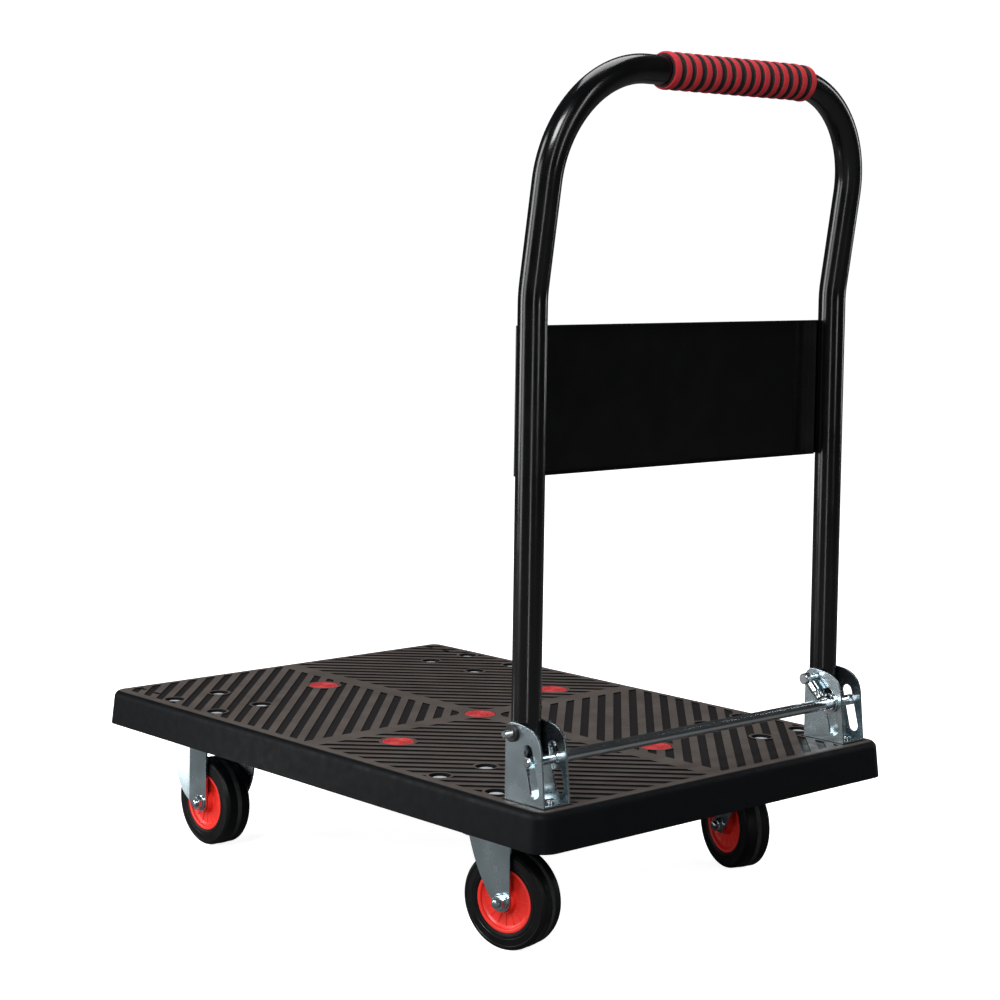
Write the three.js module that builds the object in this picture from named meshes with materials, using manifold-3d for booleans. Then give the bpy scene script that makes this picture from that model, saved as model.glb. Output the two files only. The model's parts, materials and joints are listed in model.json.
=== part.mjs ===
// Folding platform cart.
// Millimetres, +Z up, +X away from the handle, +Y across the deck. The floor is z = 0.
import * as THREE from 'three';
import Module from 'manifold-3d';
import { mergeVertices } from 'three/addons/utils/BufferGeometryUtils.js';

const wasm = await Module();
wasm.setup();

// ---------- driving dimensions ----------

const GAP = 0.3; // between pieces that touch
const ROOTED = 1; // how far a shaft runs into its own head, so that the two join
const SIDES = [['left', 1], ['right', -1]]; // left is +Y

// deck
const DECK_LENGTH = 754; // at the skirt's lower edge
const DECK_WIDTH = 514;
const DECK_TOP = 165.5;
const DECK_BOTTOM = 127;
const DECK_CORNER_RADIUS = 20;
const DECK_EDGE_RADIUS = 8;
const DECK_DRAFT = 3.2; // how much each side leans in from the skirt's lower edge to the top
const DECK_WALL = 4;
const DECK_SKIN = 6;
const DECK_RUN_OUT = 20; // how far the deck's prisms start below the skirt before they are trimmed
const RIB_THICKNESS = 3;
const RIB_BOTTOM = DECK_BOTTOM + 2;
const CELLS_ALONG = 11;
const CELLS_ACROSS = 7;

// red discs set into the deck, as a pinwheel about the centre
const DISC_RADIUS = 17.5;
const DISC_THICKNESS = 2.4;
const DISC_STEM_RADIUS = 4;
const DISC_STEM_LENGTH = 8;
const DISC_PLACES = [
  ['centre', 0, 0],
  ['front', 237.5, 39.5],
  ['rear', -237.5, -39.5],
  ['left', -50, 161],
  ['right', 50, -161],
];

// casters
const CASTER_X = 236;
const CASTER_Y = 194.5;
const CASTER_BOLT_SPACING_X = 84.5;
const CASTER_BOLT_SPACING_Y = 62;
const CASTER_BOLT_HOLE_RADIUS = 4.5;
const BOLT_POCKET_RADIUS = 10.5;
const BOLT_POCKET_DEPTH = 3.4;
const BOSS_RADIUS = 9;
const PLATE_LENGTH = 104;
const PLATE_WIDTH = 82;
const PLATE_THICKNESS = 2.5;
const PLATE_CORNER_RADIUS = 8;
const PLATE_TOP = 132.2;
const PLATE_ROOM = 4; // clear space round each plate, between the ribs
const FORK_SHEET = 2.5;
const FORK_INNER_GAP = 35;
const FORK_BEND_RADIUS = 5;
const FORK_END_RADIUS = 10;
const FORK_LONG_EDGE = 41; // from the axle to the leg's far edge
const FIXED_LEG_CURVE = { toe: 13, pullX: 40, pullZ: 58.5, edgeTop: 94.5 };
const FIXED_AXLE_OFFSET = 4.5; // the fixed caster's axle, from its plate's centre
const CROWN_TOP = 115.5;
const CROWN_RADIUS = 30;
const SWIVEL_LEG_CURVE = { toe: 3, pullX: 30, pullZ: 70.5, edgeTop: CROWN_TOP };
const RACE_RADIUS = 25;
const RACE_LOWER_CHAMFER = 4;
const RACE_UPPER_CHAMFER = 2.5;
const KING_PIN_RADIUS = 5;
const KING_PIN_HEAD_RADIUS = 8;
const KING_PIN_HEAD_HEIGHT = 4.5;
const SWIVEL_TRAIL = 28.2;
const SWIVEL_TURN = { left: 12.5, right: 165.5 }; // degrees about the king pin, in the stored pose

// wheels
const WHEEL_RADIUS = 50;
const TYRE_WIDTH = 32;
const TYRE_SHOULDER = 4;
const TYRE_SHOULDER_CUT = 1.2; // what the rounded shoulder takes off each face, halfway round
const CORE_RADIUS = 32.4;
const CORE_WIDTH = 30;
const CORE_WEB_WIDTH = 20;
const CORE_RIM_DEPTH = 4;
const CORE_DISH_SLOPE = 2;
const CORE_HUB_RADIUS = 11;
const CORE_HUB_WIDTH = 33;
const BUSH_RADIUS = 6;
const AXLE_RADIUS = 4;
const HEX_RADIUS = 7.5; // across the corners, halved
const AXLE_HEAD_HEIGHT = 5;
const AXLE_NUT_HEIGHT = 6.5;
const AXLE_THREAD_END = 3;

// handle
const TUBE_RADIUS = 14.5;
const TUBE_WALL = 1.5;
const TUBE_X = -314.5;
const TUBE_Y = 221;
const HANDLE_HEIGHT = 882.5; // top of the bare tube
const HANDLE_LEAN = THREE.MathUtils.degToRad(8.9);
const HANDLE_LEAN_START = 640.5; // height where the backward bend begins
const HANDLE_LEAN_RADIUS = 125;
const HANDLE_CORNER_RADIUS = 113;
const GRIP_RADIUS = 18.9;
const GRIP_LEFT_END = 85; // across the top bar
const GRIP_LENGTH = 209.5;
const GRIP_ROOM = 1; // between the tube and the foam, so that their facets stay apart
const PANEL_HALF_WIDTH = 228;
const PANEL_BOTTOM = 475.5;
const PANEL_TOP = 620;
const PANEL_SHEET = 1.2;
const PANEL_LIP = 9;
const PANEL_LIP_HALF_WIDTH = 204;

// pivot brackets, places given from the pivot axis
const PIVOT_HEIGHT = DECK_TOP + 66;
const BRACKET_SHEET = 2.5;
const BRACKET_INNER_GAP = 30;
const BRACKET_RECESS = 0.8;
const BRACKET_RECESS_MARGIN = 2.5;
const BRACKET_LOBE_RADIUS = 10;
const BRACKET_FOOT_FRONT = 10;
const BRACKET_FOOT_REAR = 45;
const BRACKET_CHEEK_REAR = 40.5;
const BRACKET_FLARE_HEIGHT = 16; // the front edge sweeps out to the foot below this
const BRACKET_FLARE_PULL = 6;
const BRACKET_CHEEK_REAR_HEIGHT = 46; // above the deck, where the rear edge starts to curve
const BRACKET_SHOULDER_BACK = 30; // the top edge runs level towards here, then rounds into the rear edge
const BRACKET_REAR_DROP = 8;
const BRACKET_REAR_INSET = 1;
const BASE_BOLT_PLACES = [['front', 0], ['rear', -33]];
const BASE_BOLT_RADIUS = 4;
const BASE_BOLT_HEAD_RADIUS = 6.5;
const BASE_BOLT_HEAD_HEIGHT = 4;
const BASE_BOLT_LENGTH = 24;
const PIVOT_RADIUS = 4;
const PIVOT_HEAD_RADIUS = 6;
const PIVOT_HEAD_HEIGHT = 6;
const PIVOT_NUT_RADIUS = 8.5;
const PIVOT_NUT_THICKNESS = 3;
const PIVOT_THREAD_END = 8.5;

// lock rod and its springs
const ROD_RADIUS = 6;
const ROD_BEHIND_PIVOT = 24.5;
const ROD_BELOW_PIVOT = 24.7;
const ROD_NECK_RADIUS = 4.8; // between the cheeks, clear of the tube's lower end
const ROD_END_RADIUS = 4; // inside the hexagon
const ROD_HEX_RADIUS = 5.9;
const ROD_HEX_INSET = 5; // how far the hexagon starts inside the outer cheek
const ROD_HEX_STANDOUT = 3.5;
const ROD_THREAD_END = 1.5;
const ROD_TRAVEL = 25;
const SLOT_RADIUS = 6.3;
const SLOT_LEAN = THREE.MathUtils.degToRad(14.7);
const SLOT_ABOVE_ROD = 10.5;
const SLOT_SPARE = 3; // left below the rod at the end of its travel
const ROD_WASHER_RADIUS = 11.5;
const ROD_WASHER_THICKNESS = 2.2;
const TUBE_END_REACH = 28.6; // farthest the tube's lower end reaches from the pivot
const PLUG_RIM = 1; // the plug's rim, between the tube's end and the dome
const PLUG_INSET = 0.5;
const PLUG_STEM_LENGTH = 11;
const SPRING_RADIUS = 5.4;
const SPRING_EYE_THICKNESS = 2;
const SPRING_EYE_WALL = 1.8;

// sides of the round and hexagonal shapes
const HEX_SIDES = 6;
const HOLE_SIDES = 8;
const BOLT_SIDES = 12;
const SHAFT_SIDES = 16;
const CORE_SIDES = 20;
const LARGE_SIDES = 24;
const TYRE_SIDES = 32;
const TUBE_CURVE_STEPS = 8; // along a tube section's outline

// ---------- looks ----------

function paint(color, roughness, metalness) {
  return new THREE.MeshStandardMaterial({ color, roughness, metalness });
}

const deckPlastic = paint(0x37322f, 0.55, 0);
const redPlastic = paint(0xc01a16, 0.4, 0);
const rubber = paint(0x0f1012, 0.75, 0);
const blackPaint = paint(0x08090b, 0.28, 0.2);
const blackPlastic = paint(0x111113, 0.5, 0);
const zinc = paint(0xb9bfc3, 0.34, 0.9);
const brightSteel = paint(0xcfd3d6, 0.25, 1);
const foam = paint(0xb5232a, 0.85, 0);

// ---------- solids ----------

const MERGE_DISTANCE = 1e-4;
const OVERCUT = 2; // how far a cutter runs past what it cuts

function solidOf(geometry) {
  const bare = geometry.clone();
  bare.deleteAttribute('normal');
  bare.deleteAttribute('uv');
  const merged = mergeVertices(bare, MERGE_DISTANCE);
  const corners = [];
  for (let i = 0; i < merged.index.count; i += 3) {
    const [a, b, c] = [0, 1, 2].map((k) => merged.index.getX(i + k));
    if (a !== b && b !== c && c !== a) {
      corners.push(a, b, c);
    }
  }
  return new wasm.Manifold(new wasm.Mesh({
    numProp: 3,
    vertProperties: new Float32Array(merged.attributes.position.array),
    triVerts: new Uint32Array(corners),
  }));
}

function geometryOf(solid) {
  const mesh = solid.getMesh();
  const geometry = new THREE.BufferGeometry();
  geometry.setAttribute('position', new THREE.BufferAttribute(mesh.vertProperties, 3));
  geometry.setIndex(new THREE.BufferAttribute(mesh.triVerts, 1));
  const flat = geometry.toNonIndexed();
  flat.computeVertexNormals();
  return flat;
}

function joined(...solids) {
  return solids.reduce((sum, solid) => sum.add(solid));
}

function cut(solid, ...cutters) {
  return cutters.reduce((rest, cutter) => rest.subtract(cutter), solid);
}

// A box from its low and high corners.
function box(low, high) {
  const size = high.map((value, axis) => value - low[axis]);
  const geometry = new THREE.BoxGeometry(...size);
  geometry.translate(...high.map((value, axis) => (value + low[axis]) / 2));
  return solidOf(geometry);
}

// A solid of revolution about Y; the outline's points are [radius, y], upwards on the outside.
function turnedAboutY(outline, segments) {
  return solidOf(new THREE.LatheGeometry(outline.map(([r, y]) => new THREE.Vector2(r, y)), segments));
}

function cylinderY(radius, from, to, x, z, segments = SHAFT_SIDES) {
  const geometry = new THREE.CylinderGeometry(radius, radius, to - from, segments);
  geometry.translate(x, (from + to) / 2, z);
  return solidOf(geometry);
}

function cylinderZ(radius, from, to, x, y, segments = SHAFT_SIDES) {
  const geometry = new THREE.CylinderGeometry(radius, radius, to - from, segments);
  geometry.rotateX(Math.PI / 2);
  geometry.translate(x, y, (from + to) / 2);
  return solidOf(geometry);
}

function tubeY(outer, inner, from, to, x = 0, z = 0, segments = SHAFT_SIDES) {
  const body = cylinderY(outer, from, to, x, z, segments);
  return cut(body, cylinderY(inner, from - OVERCUT, to + OVERCUT, x, z, segments));
}

// A side outline drawn in X and Z, given thickness along Y.
function extrudedAlongY(shape, from, to, curveSegments = 4) {
  const geometry = new THREE.ExtrudeGeometry(shape, { depth: to - from, bevelEnabled: false, curveSegments });
  geometry.rotateX(Math.PI / 2);
  geometry.translate(0, to, 0);
  return solidOf(geometry);
}

function roundedRectangle(length, width, radius) {
  const [x, y] = [length / 2, width / 2];
  const shape = new THREE.Shape();
  shape.absarc(x - radius, y - radius, radius, 0, Math.PI / 2);
  shape.absarc(radius - x, y - radius, radius, Math.PI / 2, Math.PI);
  shape.absarc(radius - x, radius - y, radius, Math.PI, 1.5 * Math.PI);
  shape.absarc(x - radius, radius - y, radius, 1.5 * Math.PI, 2 * Math.PI);
  shape.closePath();
  return shape;
}

function prism(shape, from, to, curveSegments = 3) {
  const geometry = new THREE.ExtrudeGeometry(shape, { depth: to - from, bevelEnabled: false, curveSegments });
  geometry.translate(0, 0, from);
  return solidOf(geometry);
}

// ---------- deck ----------

const CASTER_CENTRES = [1, -1].flatMap((endX) => SIDES.map(([, side]) => [endX * CASTER_X, side * CASTER_Y]));

function casterBoltPlaces() {
  return CASTER_CENTRES.flatMap(([x, y]) => [1, -1].flatMap((stepX) => [1, -1].map((stepY) => [
    x + (stepX * CASTER_BOLT_SPACING_X) / 2,
    y + (stepY * CASTER_BOLT_SPACING_Y) / 2,
  ])));
}

function baseBoltPlaces() {
  return SIDES.flatMap(([, side]) => BASE_BOLT_PLACES.map(([, x]) => [TUBE_X + x, side * TUBE_Y]));
}

// Leans a prism's sides in towards the deck's top, as the mould does.
function withDraft(geometry) {
  const places = geometry.attributes.position;
  for (let i = 0; i < places.count; i += 1) {
    const rise = (places.getZ(i) - DECK_BOTTOM) / (DECK_TOP - DECK_BOTTOM);
    places.setX(i, places.getX(i) * (1 - (rise * DECK_DRAFT * 2) / DECK_LENGTH));
    places.setY(i, places.getY(i) * (1 - (rise * DECK_DRAFT * 2) / DECK_WIDTH));
  }
  return geometry;
}

function deckInside() {
  const walls = 2 * DECK_WALL;
  const outline = roundedRectangle(DECK_LENGTH - walls, DECK_WIDTH - walls, DECK_CORNER_RADIUS - DECK_WALL);
  const depth = DECK_TOP - DECK_SKIN - DECK_BOTTOM + DECK_RUN_OUT;
  const geometry = new THREE.ExtrudeGeometry(outline, { depth, bevelEnabled: false, curveSegments: 3 });
  geometry.translate(0, 0, DECK_BOTTOM - DECK_RUN_OUT);
  return solidOf(withDraft(geometry));
}

function deckShell() {
  const inset = DECK_EDGE_RADIUS;
  const [length, width] = [DECK_LENGTH - 2 * inset, DECK_WIDTH - 2 * inset];
  const geometry = new THREE.ExtrudeGeometry(roundedRectangle(length, width, DECK_CORNER_RADIUS - inset), {
    depth: DECK_TOP - DECK_BOTTOM + DECK_RUN_OUT - inset,
    bevelThickness: inset,
    bevelSize: inset,
    bevelSegments: 2,
    curveSegments: 3,
  });
  geometry.translate(0, 0, DECK_BOTTOM - DECK_RUN_OUT);
  const reach = DECK_LENGTH;
  return cut(solidOf(withDraft(geometry)), box([-reach, -reach, 0], [reach, reach, DECK_BOTTOM]));
}

function deckRibs() {
  const roof = DECK_TOP - DECK_SKIN + OVERCUT;
  const [halfX, halfY] = [DECK_LENGTH / 2, DECK_WIDTH / 2];
  const half = RIB_THICKNESS / 2;
  const ribs = [];
  for (let i = 1; i < CELLS_ALONG; i += 1) {
    const x = -halfX + (DECK_LENGTH * i) / CELLS_ALONG;
    ribs.push(box([x - half, -halfY, RIB_BOTTOM], [x + half, halfY, roof]));
  }
  for (let i = 1; i < CELLS_ACROSS; i += 1) {
    const y = -halfY + (DECK_WIDTH * i) / CELLS_ACROSS;
    ribs.push(box([-halfX, y - half, RIB_BOTTOM], [halfX, y + half, roof]));
  }
  const rooms = CASTER_CENTRES.map(([x, y]) => {
    const [roomX, roomY] = [PLATE_LENGTH / 2 + PLATE_ROOM, PLATE_WIDTH / 2 + PLATE_ROOM];
    return box([x - roomX, y - roomY, 0], [x + roomX, y + roomY, PLATE_TOP + GAP]);
  });
  const bossPlaces = [...casterBoltPlaces(), ...baseBoltPlaces(), ...DISC_PLACES.map(([, x, y]) => [x, y])];
  const bosses = bossPlaces.map(([x, y]) => cylinderZ(BOSS_RADIUS, PLATE_TOP + GAP, roof, x, y, HOLE_SIDES));
  return joined(cut(joined(...ribs), ...rooms), ...bosses);
}

function bracketRecess(side) {
  const margin = BRACKET_RECESS_MARGIN;
  const halfWidth = BRACKET_INNER_GAP / 2 + BRACKET_SHEET + margin;
  const y = side * TUBE_Y;
  return box(
    [TUBE_X - BRACKET_FOOT_REAR - margin, y - halfWidth, DECK_TOP - BRACKET_RECESS],
    [TUBE_X + BRACKET_FOOT_FRONT + margin, y + halfWidth, DECK_TOP + OVERCUT],
  );
}

function deck() {
  const above = DECK_TOP + OVERCUT;
  const boltHoles = casterBoltPlaces().flatMap(([x, y]) => [
    cylinderZ(CASTER_BOLT_HOLE_RADIUS, 0, above, x, y, HOLE_SIDES),
    cylinderZ(BOLT_POCKET_RADIUS, DECK_TOP - BOLT_POCKET_DEPTH, above, x, y, BOLT_SIDES),
  ]);
  const baseHoles = baseBoltPlaces().map(([x, y]) => (
    cylinderZ(BASE_BOLT_RADIUS + GAP, 0, above, x, y, BOLT_SIDES)
  ));
  const discPockets = DISC_PLACES.flatMap(([, x, y]) => {
    const floor = DECK_TOP - DISC_THICKNESS - GAP;
    return [
      cylinderZ(DISC_RADIUS + GAP, floor, above, x, y, LARGE_SIDES),
      cylinderZ(DISC_STEM_RADIUS + GAP, floor - DISC_STEM_LENGTH - GAP, above, x, y, BOLT_SIDES),
    ];
  });
  const recesses = SIDES.map(([, side]) => bracketRecess(side));
  const cells = cut(deckInside(), deckRibs());
  return cut(deckShell(), cells, ...boltHoles, ...baseHoles, ...discPockets, ...recesses);
}

function deckDisc(x, y) {
  const under = DECK_TOP - DISC_THICKNESS;
  const disc = cylinderZ(DISC_RADIUS, under, DECK_TOP, x, y, LARGE_SIDES);
  const stem = cylinderZ(DISC_STEM_RADIUS, under - DISC_STEM_LENGTH, under + ROOTED, x, y, BOLT_SIDES);
  return joined(disc, stem);
}

// ---------- wheels and casters, about the wheel's centre or the caster's axis ----------

function tyre() {
  const half = TYRE_WIDTH / 2;
  const inner = CORE_RADIUS + GAP;
  const shoulder = half - TYRE_SHOULDER;
  const trimmed = WHEEL_RADIUS - TYRE_SHOULDER_CUT;
  const outline = [
    [inner, -half], [WHEEL_RADIUS - TYRE_SHOULDER, -half], [trimmed, TYRE_SHOULDER_CUT - half],
    [WHEEL_RADIUS, -shoulder], [WHEEL_RADIUS, shoulder],
    [trimmed, half - TYRE_SHOULDER_CUT], [WHEEL_RADIUS - TYRE_SHOULDER, half], [inner, half],
  ];
  return turnedAboutY([...outline, outline[0]], TYRE_SIDES);
}

function wheelCore() {
  const [hub, web, rim] = [CORE_HUB_WIDTH / 2, CORE_WEB_WIDTH / 2, CORE_WIDTH / 2];
  const rimInner = CORE_RADIUS - CORE_RIM_DEPTH;
  const bore = BUSH_RADIUS + GAP;
  const [dishInner, dishOuter] = [CORE_HUB_RADIUS + CORE_DISH_SLOPE, rimInner - CORE_DISH_SLOPE];
  const outline = [
    [bore, -hub], [CORE_HUB_RADIUS, -hub], [dishInner, -web], [dishOuter, -web], [rimInner, -rim],
    [CORE_RADIUS, -rim], [CORE_RADIUS, rim],
    [rimInner, rim], [dishOuter, web], [dishInner, web], [CORE_HUB_RADIUS, hub], [bore, hub],
  ];
  return turnedAboutY([...outline, outline[0]], CORE_SIDES);
}

function axleBush() {
  const half = FORK_INNER_GAP / 2 - GAP;
  return tubeY(BUSH_RADIUS, AXLE_RADIUS + GAP, -half, half);
}

function axleBolt(nutSide) {
  const legOuter = FORK_INNER_GAP / 2 + FORK_SHEET;
  const headInner = legOuter + GAP;
  const threadEnd = headInner + AXLE_NUT_HEIGHT + AXLE_THREAD_END;
  const shaft = nutSide > 0
    ? cylinderY(AXLE_RADIUS, -headInner - ROOTED, threadEnd, 0, 0)
    : cylinderY(AXLE_RADIUS, -threadEnd, headInner + ROOTED, 0, 0);
  const headFrom = nutSide > 0 ? -headInner - AXLE_HEAD_HEIGHT : headInner;
  return joined(shaft, cylinderY(HEX_RADIUS, headFrom, headFrom + AXLE_HEAD_HEIGHT, 0, 0, HEX_SIDES));
}

function axleNut(nutSide) {
  const inner = FORK_INNER_GAP / 2 + FORK_SHEET + GAP;
  const from = nutSide > 0 ? inner : -inner - AXLE_NUT_HEIGHT;
  const hexagon = cylinderY(HEX_RADIUS, from, from + AXLE_NUT_HEIGHT, 0, 0, HEX_SIDES);
  const bore = cylinderY(AXLE_RADIUS + GAP, from - OVERCUT, from + AXLE_NUT_HEIGHT + OVERCUT, 0, 0);
  return cut(hexagon, bore);
}

// A sheet bent into an upside-down U across Y, as long as it needs to be along X.
function bentChannel(top, bottom) {
  const half = FORK_INNER_GAP / 2 + FORK_SHEET;
  const r = FORK_BEND_RADIUS;
  const [ri, inner, roof] = [r - FORK_SHEET, half - FORK_SHEET, top - FORK_SHEET];
  const shape = new THREE.Shape();
  shape.moveTo(-half, bottom);
  shape.lineTo(-inner, bottom);
  shape.absarc(ri - inner, roof - ri, ri, Math.PI, Math.PI / 2, true);
  shape.absarc(inner - ri, roof - ri, ri, Math.PI / 2, 0, true);
  shape.lineTo(inner, bottom);
  shape.lineTo(half, bottom);
  shape.absarc(half - r, top - r, r, 0, Math.PI / 2);
  shape.absarc(r - half, top - r, r, Math.PI / 2, Math.PI);
  shape.closePath();
  const reach = PLATE_LENGTH;
  const depth = 2 * reach;
  const geometry = new THREE.ExtrudeGeometry(shape, { depth, bevelEnabled: false, curveSegments: 2 });
  geometry.rotateX(Math.PI / 2);
  geometry.rotateZ(Math.PI / 2);
  geometry.translate(-reach, 0, 0);
  return solidOf(geometry);
}

// A leg's side outline about the axle: straight down at the back, round below, rising to a long front edge.
// The toe is how far the lower edge runs forwards; the front edge curves up to edgeTop, then runs straight.
function legOutline(top, { toe, pullX, pullZ, edgeTop }) {
  const r = FORK_END_RADIUS;
  const sole = WHEEL_RADIUS - r;
  const shape = new THREE.Shape();
  shape.moveTo(-r, top + OVERCUT);
  shape.lineTo(-r, WHEEL_RADIUS);
  shape.absarc(0, WHEEL_RADIUS, r, Math.PI, 1.5 * Math.PI);
  shape.lineTo(toe, sole);
  shape.quadraticCurveTo(pullX, pullZ, FORK_LONG_EDGE, edgeTop);
  shape.lineTo(FORK_LONG_EDGE, top + OVERCUT);
  shape.closePath();
  return shape;
}

// A leg's outline as a block across Y, turned about Z by half turns and set at the axle.
function legBlock(outline, from, to, axleX, turn = 0) {
  const depth = to - from;
  const geometry = new THREE.ExtrudeGeometry(outline, { depth, bevelEnabled: false, curveSegments: 4 });
  geometry.rotateX(Math.PI / 2);
  geometry.translate(0, to, 0);
  geometry.rotateZ(turn);
  geometry.translate(axleX, 0, 0);
  return solidOf(geometry);
}

function axleHole(axleX) {
  return cylinderY(AXLE_RADIUS + GAP, -FORK_INNER_GAP, FORK_INNER_GAP, axleX, WHEEL_RADIUS);
}

function casterPlate(from) {
  const outline = roundedRectangle(PLATE_LENGTH, PLATE_WIDTH, PLATE_CORNER_RADIUS);
  const plate = prism(outline, from, from + PLATE_THICKNESS, 2);
  const holes = [1, -1].flatMap((stepX) => [1, -1].map((stepY) => cylinderZ(
    CASTER_BOLT_HOLE_RADIUS, 0, from + OVERCUT * 2,
    (stepX * CASTER_BOLT_SPACING_X) / 2, (stepY * CASTER_BOLT_SPACING_Y) / 2, HOLE_SIDES,
  )));
  return cut(plate, ...holes);
}

// The fixed caster's two legs are the same stamping turned half a turn, so each flares its own way.
function fixedFork() {
  const outline = legOutline(PLATE_TOP, FIXED_LEG_CURVE);
  const blocks = [0, Math.PI].map((turn) => legBlock(outline, 0, FORK_INNER_GAP, FIXED_AXLE_OFFSET, turn));
  const legs = bentChannel(PLATE_TOP, 0).intersect(joined(...blocks));
  return joined(cut(legs, axleHole(FIXED_AXLE_OFFSET)), casterPlate(PLATE_TOP - PLATE_THICKNESS));
}

function swivelPlate() {
  const hole = cylinderZ(KING_PIN_RADIUS + GAP, 0, DECK_TOP, 0, 0);
  return cut(casterPlate(PLATE_TOP - PLATE_THICKNESS), hole);
}

function swivelRace() {
  const [from, to] = [CROWN_TOP + GAP, PLATE_TOP - PLATE_THICKNESS - GAP];
  const bore = KING_PIN_RADIUS + GAP;
  const outline = [
    [bore, from], [RACE_RADIUS - RACE_LOWER_CHAMFER, from], [RACE_RADIUS, from + RACE_LOWER_CHAMFER],
    [RACE_RADIUS, to - RACE_UPPER_CHAMFER], [RACE_RADIUS - RACE_UPPER_CHAMFER, to], [bore, to],
  ];
  const places = [...outline, outline[0]].map(([r, z]) => new THREE.Vector2(r, z));
  const geometry = new THREE.LatheGeometry(places, CORE_SIDES);
  geometry.rotateX(Math.PI / 2);
  return solidOf(geometry);
}

function kingPin() {
  const headTop = CROWN_TOP - FORK_SHEET - GAP;
  const shaft = cylinderZ(KING_PIN_RADIUS, headTop - ROOTED, PLATE_TOP - GAP, 0, 0);
  return joined(shaft, cylinderZ(KING_PIN_HEAD_RADIUS, headTop - KING_PIN_HEAD_HEIGHT, headTop, 0, 0));
}

function swivelFork() {
  const outline = legOutline(CROWN_TOP, SWIVEL_LEG_CURVE);
  const block = legBlock(outline, -FORK_INNER_GAP, FORK_INNER_GAP, -SWIVEL_TRAIL);
  const legs = cut(bentChannel(CROWN_TOP, 0).intersect(block), axleHole(-SWIVEL_TRAIL));
  const crown = cylinderZ(CROWN_RADIUS, CROWN_TOP - FORK_SHEET, CROWN_TOP, 0, 0, LARGE_SIDES);
  return cut(joined(legs, crown), cylinderZ(KING_PIN_RADIUS + GAP, 0, DECK_TOP, 0, 0));
}

// ---------- handle ----------

// A curve that visits the stations it is given, so long straight runs need no steps.
class StationCurve extends THREE.Curve {
  constructor(stations) {
    super();
    this.stations = stations;
  }

  stationAt(t, key) {
    const place = t * (this.stations.length - 1);
    const index = Math.min(Math.round(place), this.stations.length - 1);
    return this.stations[index][key].clone();
  }

  getPoint(t) {
    return this.stationAt(t, 'point');
  }

  getTangent(t) {
    return this.stationAt(t, 'tangent');
  }

  getUtoTmapping(u) {
    return u;
  }
}

const LEAN_ARC = HANDLE_LEAN_RADIUS * HANDLE_LEAN;
const TOP_CENTRE = HANDLE_HEIGHT - TUBE_RADIUS;

// The handle's side view: how far back, how high and how much leaning, at a length past the bend's start.
function sideView(length) {
  const arc = Math.min(Math.max(length, 0), LEAN_ARC) / HANDLE_LEAN_RADIUS;
  const rest = length - Math.min(Math.max(length, 0), LEAN_ARC);
  const back = HANDLE_LEAN_RADIUS * (1 - Math.cos(arc)) + rest * Math.sin(arc);
  const height = HANDLE_LEAN_START + HANDLE_LEAN_RADIUS * Math.sin(arc) + rest * Math.cos(arc);
  return { x: TUBE_X - back, z: height, lean: arc };
}

const TOP_LENGTH = LEAN_ARC
  + (TOP_CENTRE - HANDLE_LEAN_START - HANDLE_LEAN_RADIUS * Math.sin(HANDLE_LEAN)) / Math.cos(HANDLE_LEAN);

// One station of the tube's centre line; heading is the angle from upright towards +Y or -Y.
function station(length, y, heading) {
  const { x, z, lean } = sideView(length);
  const rise = Math.cos(heading);
  return {
    point: new THREE.Vector3(x, y, z),
    tangent: new THREE.Vector3(-Math.sin(lean) * rise, -Math.sin(heading), Math.cos(lean) * rise),
  };
}

// The right-hand corner is entered from above, so its headings pass a quarter turn.
function cornerStation(angle, side) {
  const r = HANDLE_CORNER_RADIUS;
  const length = TOP_LENGTH - r + r * Math.sin(angle);
  const y = side * (TUBE_Y - r + r * Math.cos(angle));
  return station(length, y, side > 0 ? angle : Math.PI - angle);
}

// How far below the pivot the bare tube ends; the plug's dome fills the rest of the reach.
const TUBE_END_BELOW_PIVOT = Math.sqrt(TUBE_END_REACH ** 2 - TUBE_RADIUS ** 2) - PLUG_RIM;

// Up the left tube, over the top bar, and down the right tube as the left one's mirror image.
function handleStations() {
  const lower = PIVOT_HEIGHT - TUBE_END_BELOW_PIVOT - HANDLE_LEAN_START;
  const leanSteps = 3;
  const cornerSteps = 8;
  const rising = [station(lower, TUBE_Y, 0)];
  for (let i = 0; i <= leanSteps; i += 1) {
    rising.push(station((LEAN_ARC * i) / leanSteps, TUBE_Y, 0));
  }
  for (let i = 0; i <= cornerSteps; i += 1) {
    rising.push(cornerStation((Math.PI / 2) * (i / cornerSteps), 1));
  }
  const falling = rising.map(({ point, tangent }) => ({
    point: new THREE.Vector3(point.x, -point.y, point.z),
    tangent: new THREE.Vector3(-tangent.x, tangent.y, -tangent.z),
  })).reverse();
  return [...rising, ...falling];
}

function sweptRing(outer, inner, stations) {
  const ring = new THREE.Shape().absarc(0, 0, outer, 0, 2 * Math.PI);
  ring.holes.push(new THREE.Path().absarc(0, 0, inner, 0, 2 * Math.PI, true));
  return solidOf(new THREE.ExtrudeGeometry(ring, {
    steps: stations.length - 1,
    bevelEnabled: false,
    curveSegments: TUBE_CURVE_STEPS,
    extrudePath: new StationCurve(stations),
  }));
}

function handleTube() {
  const tube = sweptRing(TUBE_RADIUS, TUBE_RADIUS - TUBE_WALL, handleStations());
  const reach = 2 * TUBE_RADIUS;
  const holes = SIDES.map(([, side]) => cylinderY(
    PIVOT_RADIUS + GAP, side * TUBE_Y - reach, side * TUBE_Y + reach, TUBE_X, PIVOT_HEIGHT,
  ));
  return cut(tube, ...holes);
}

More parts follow.
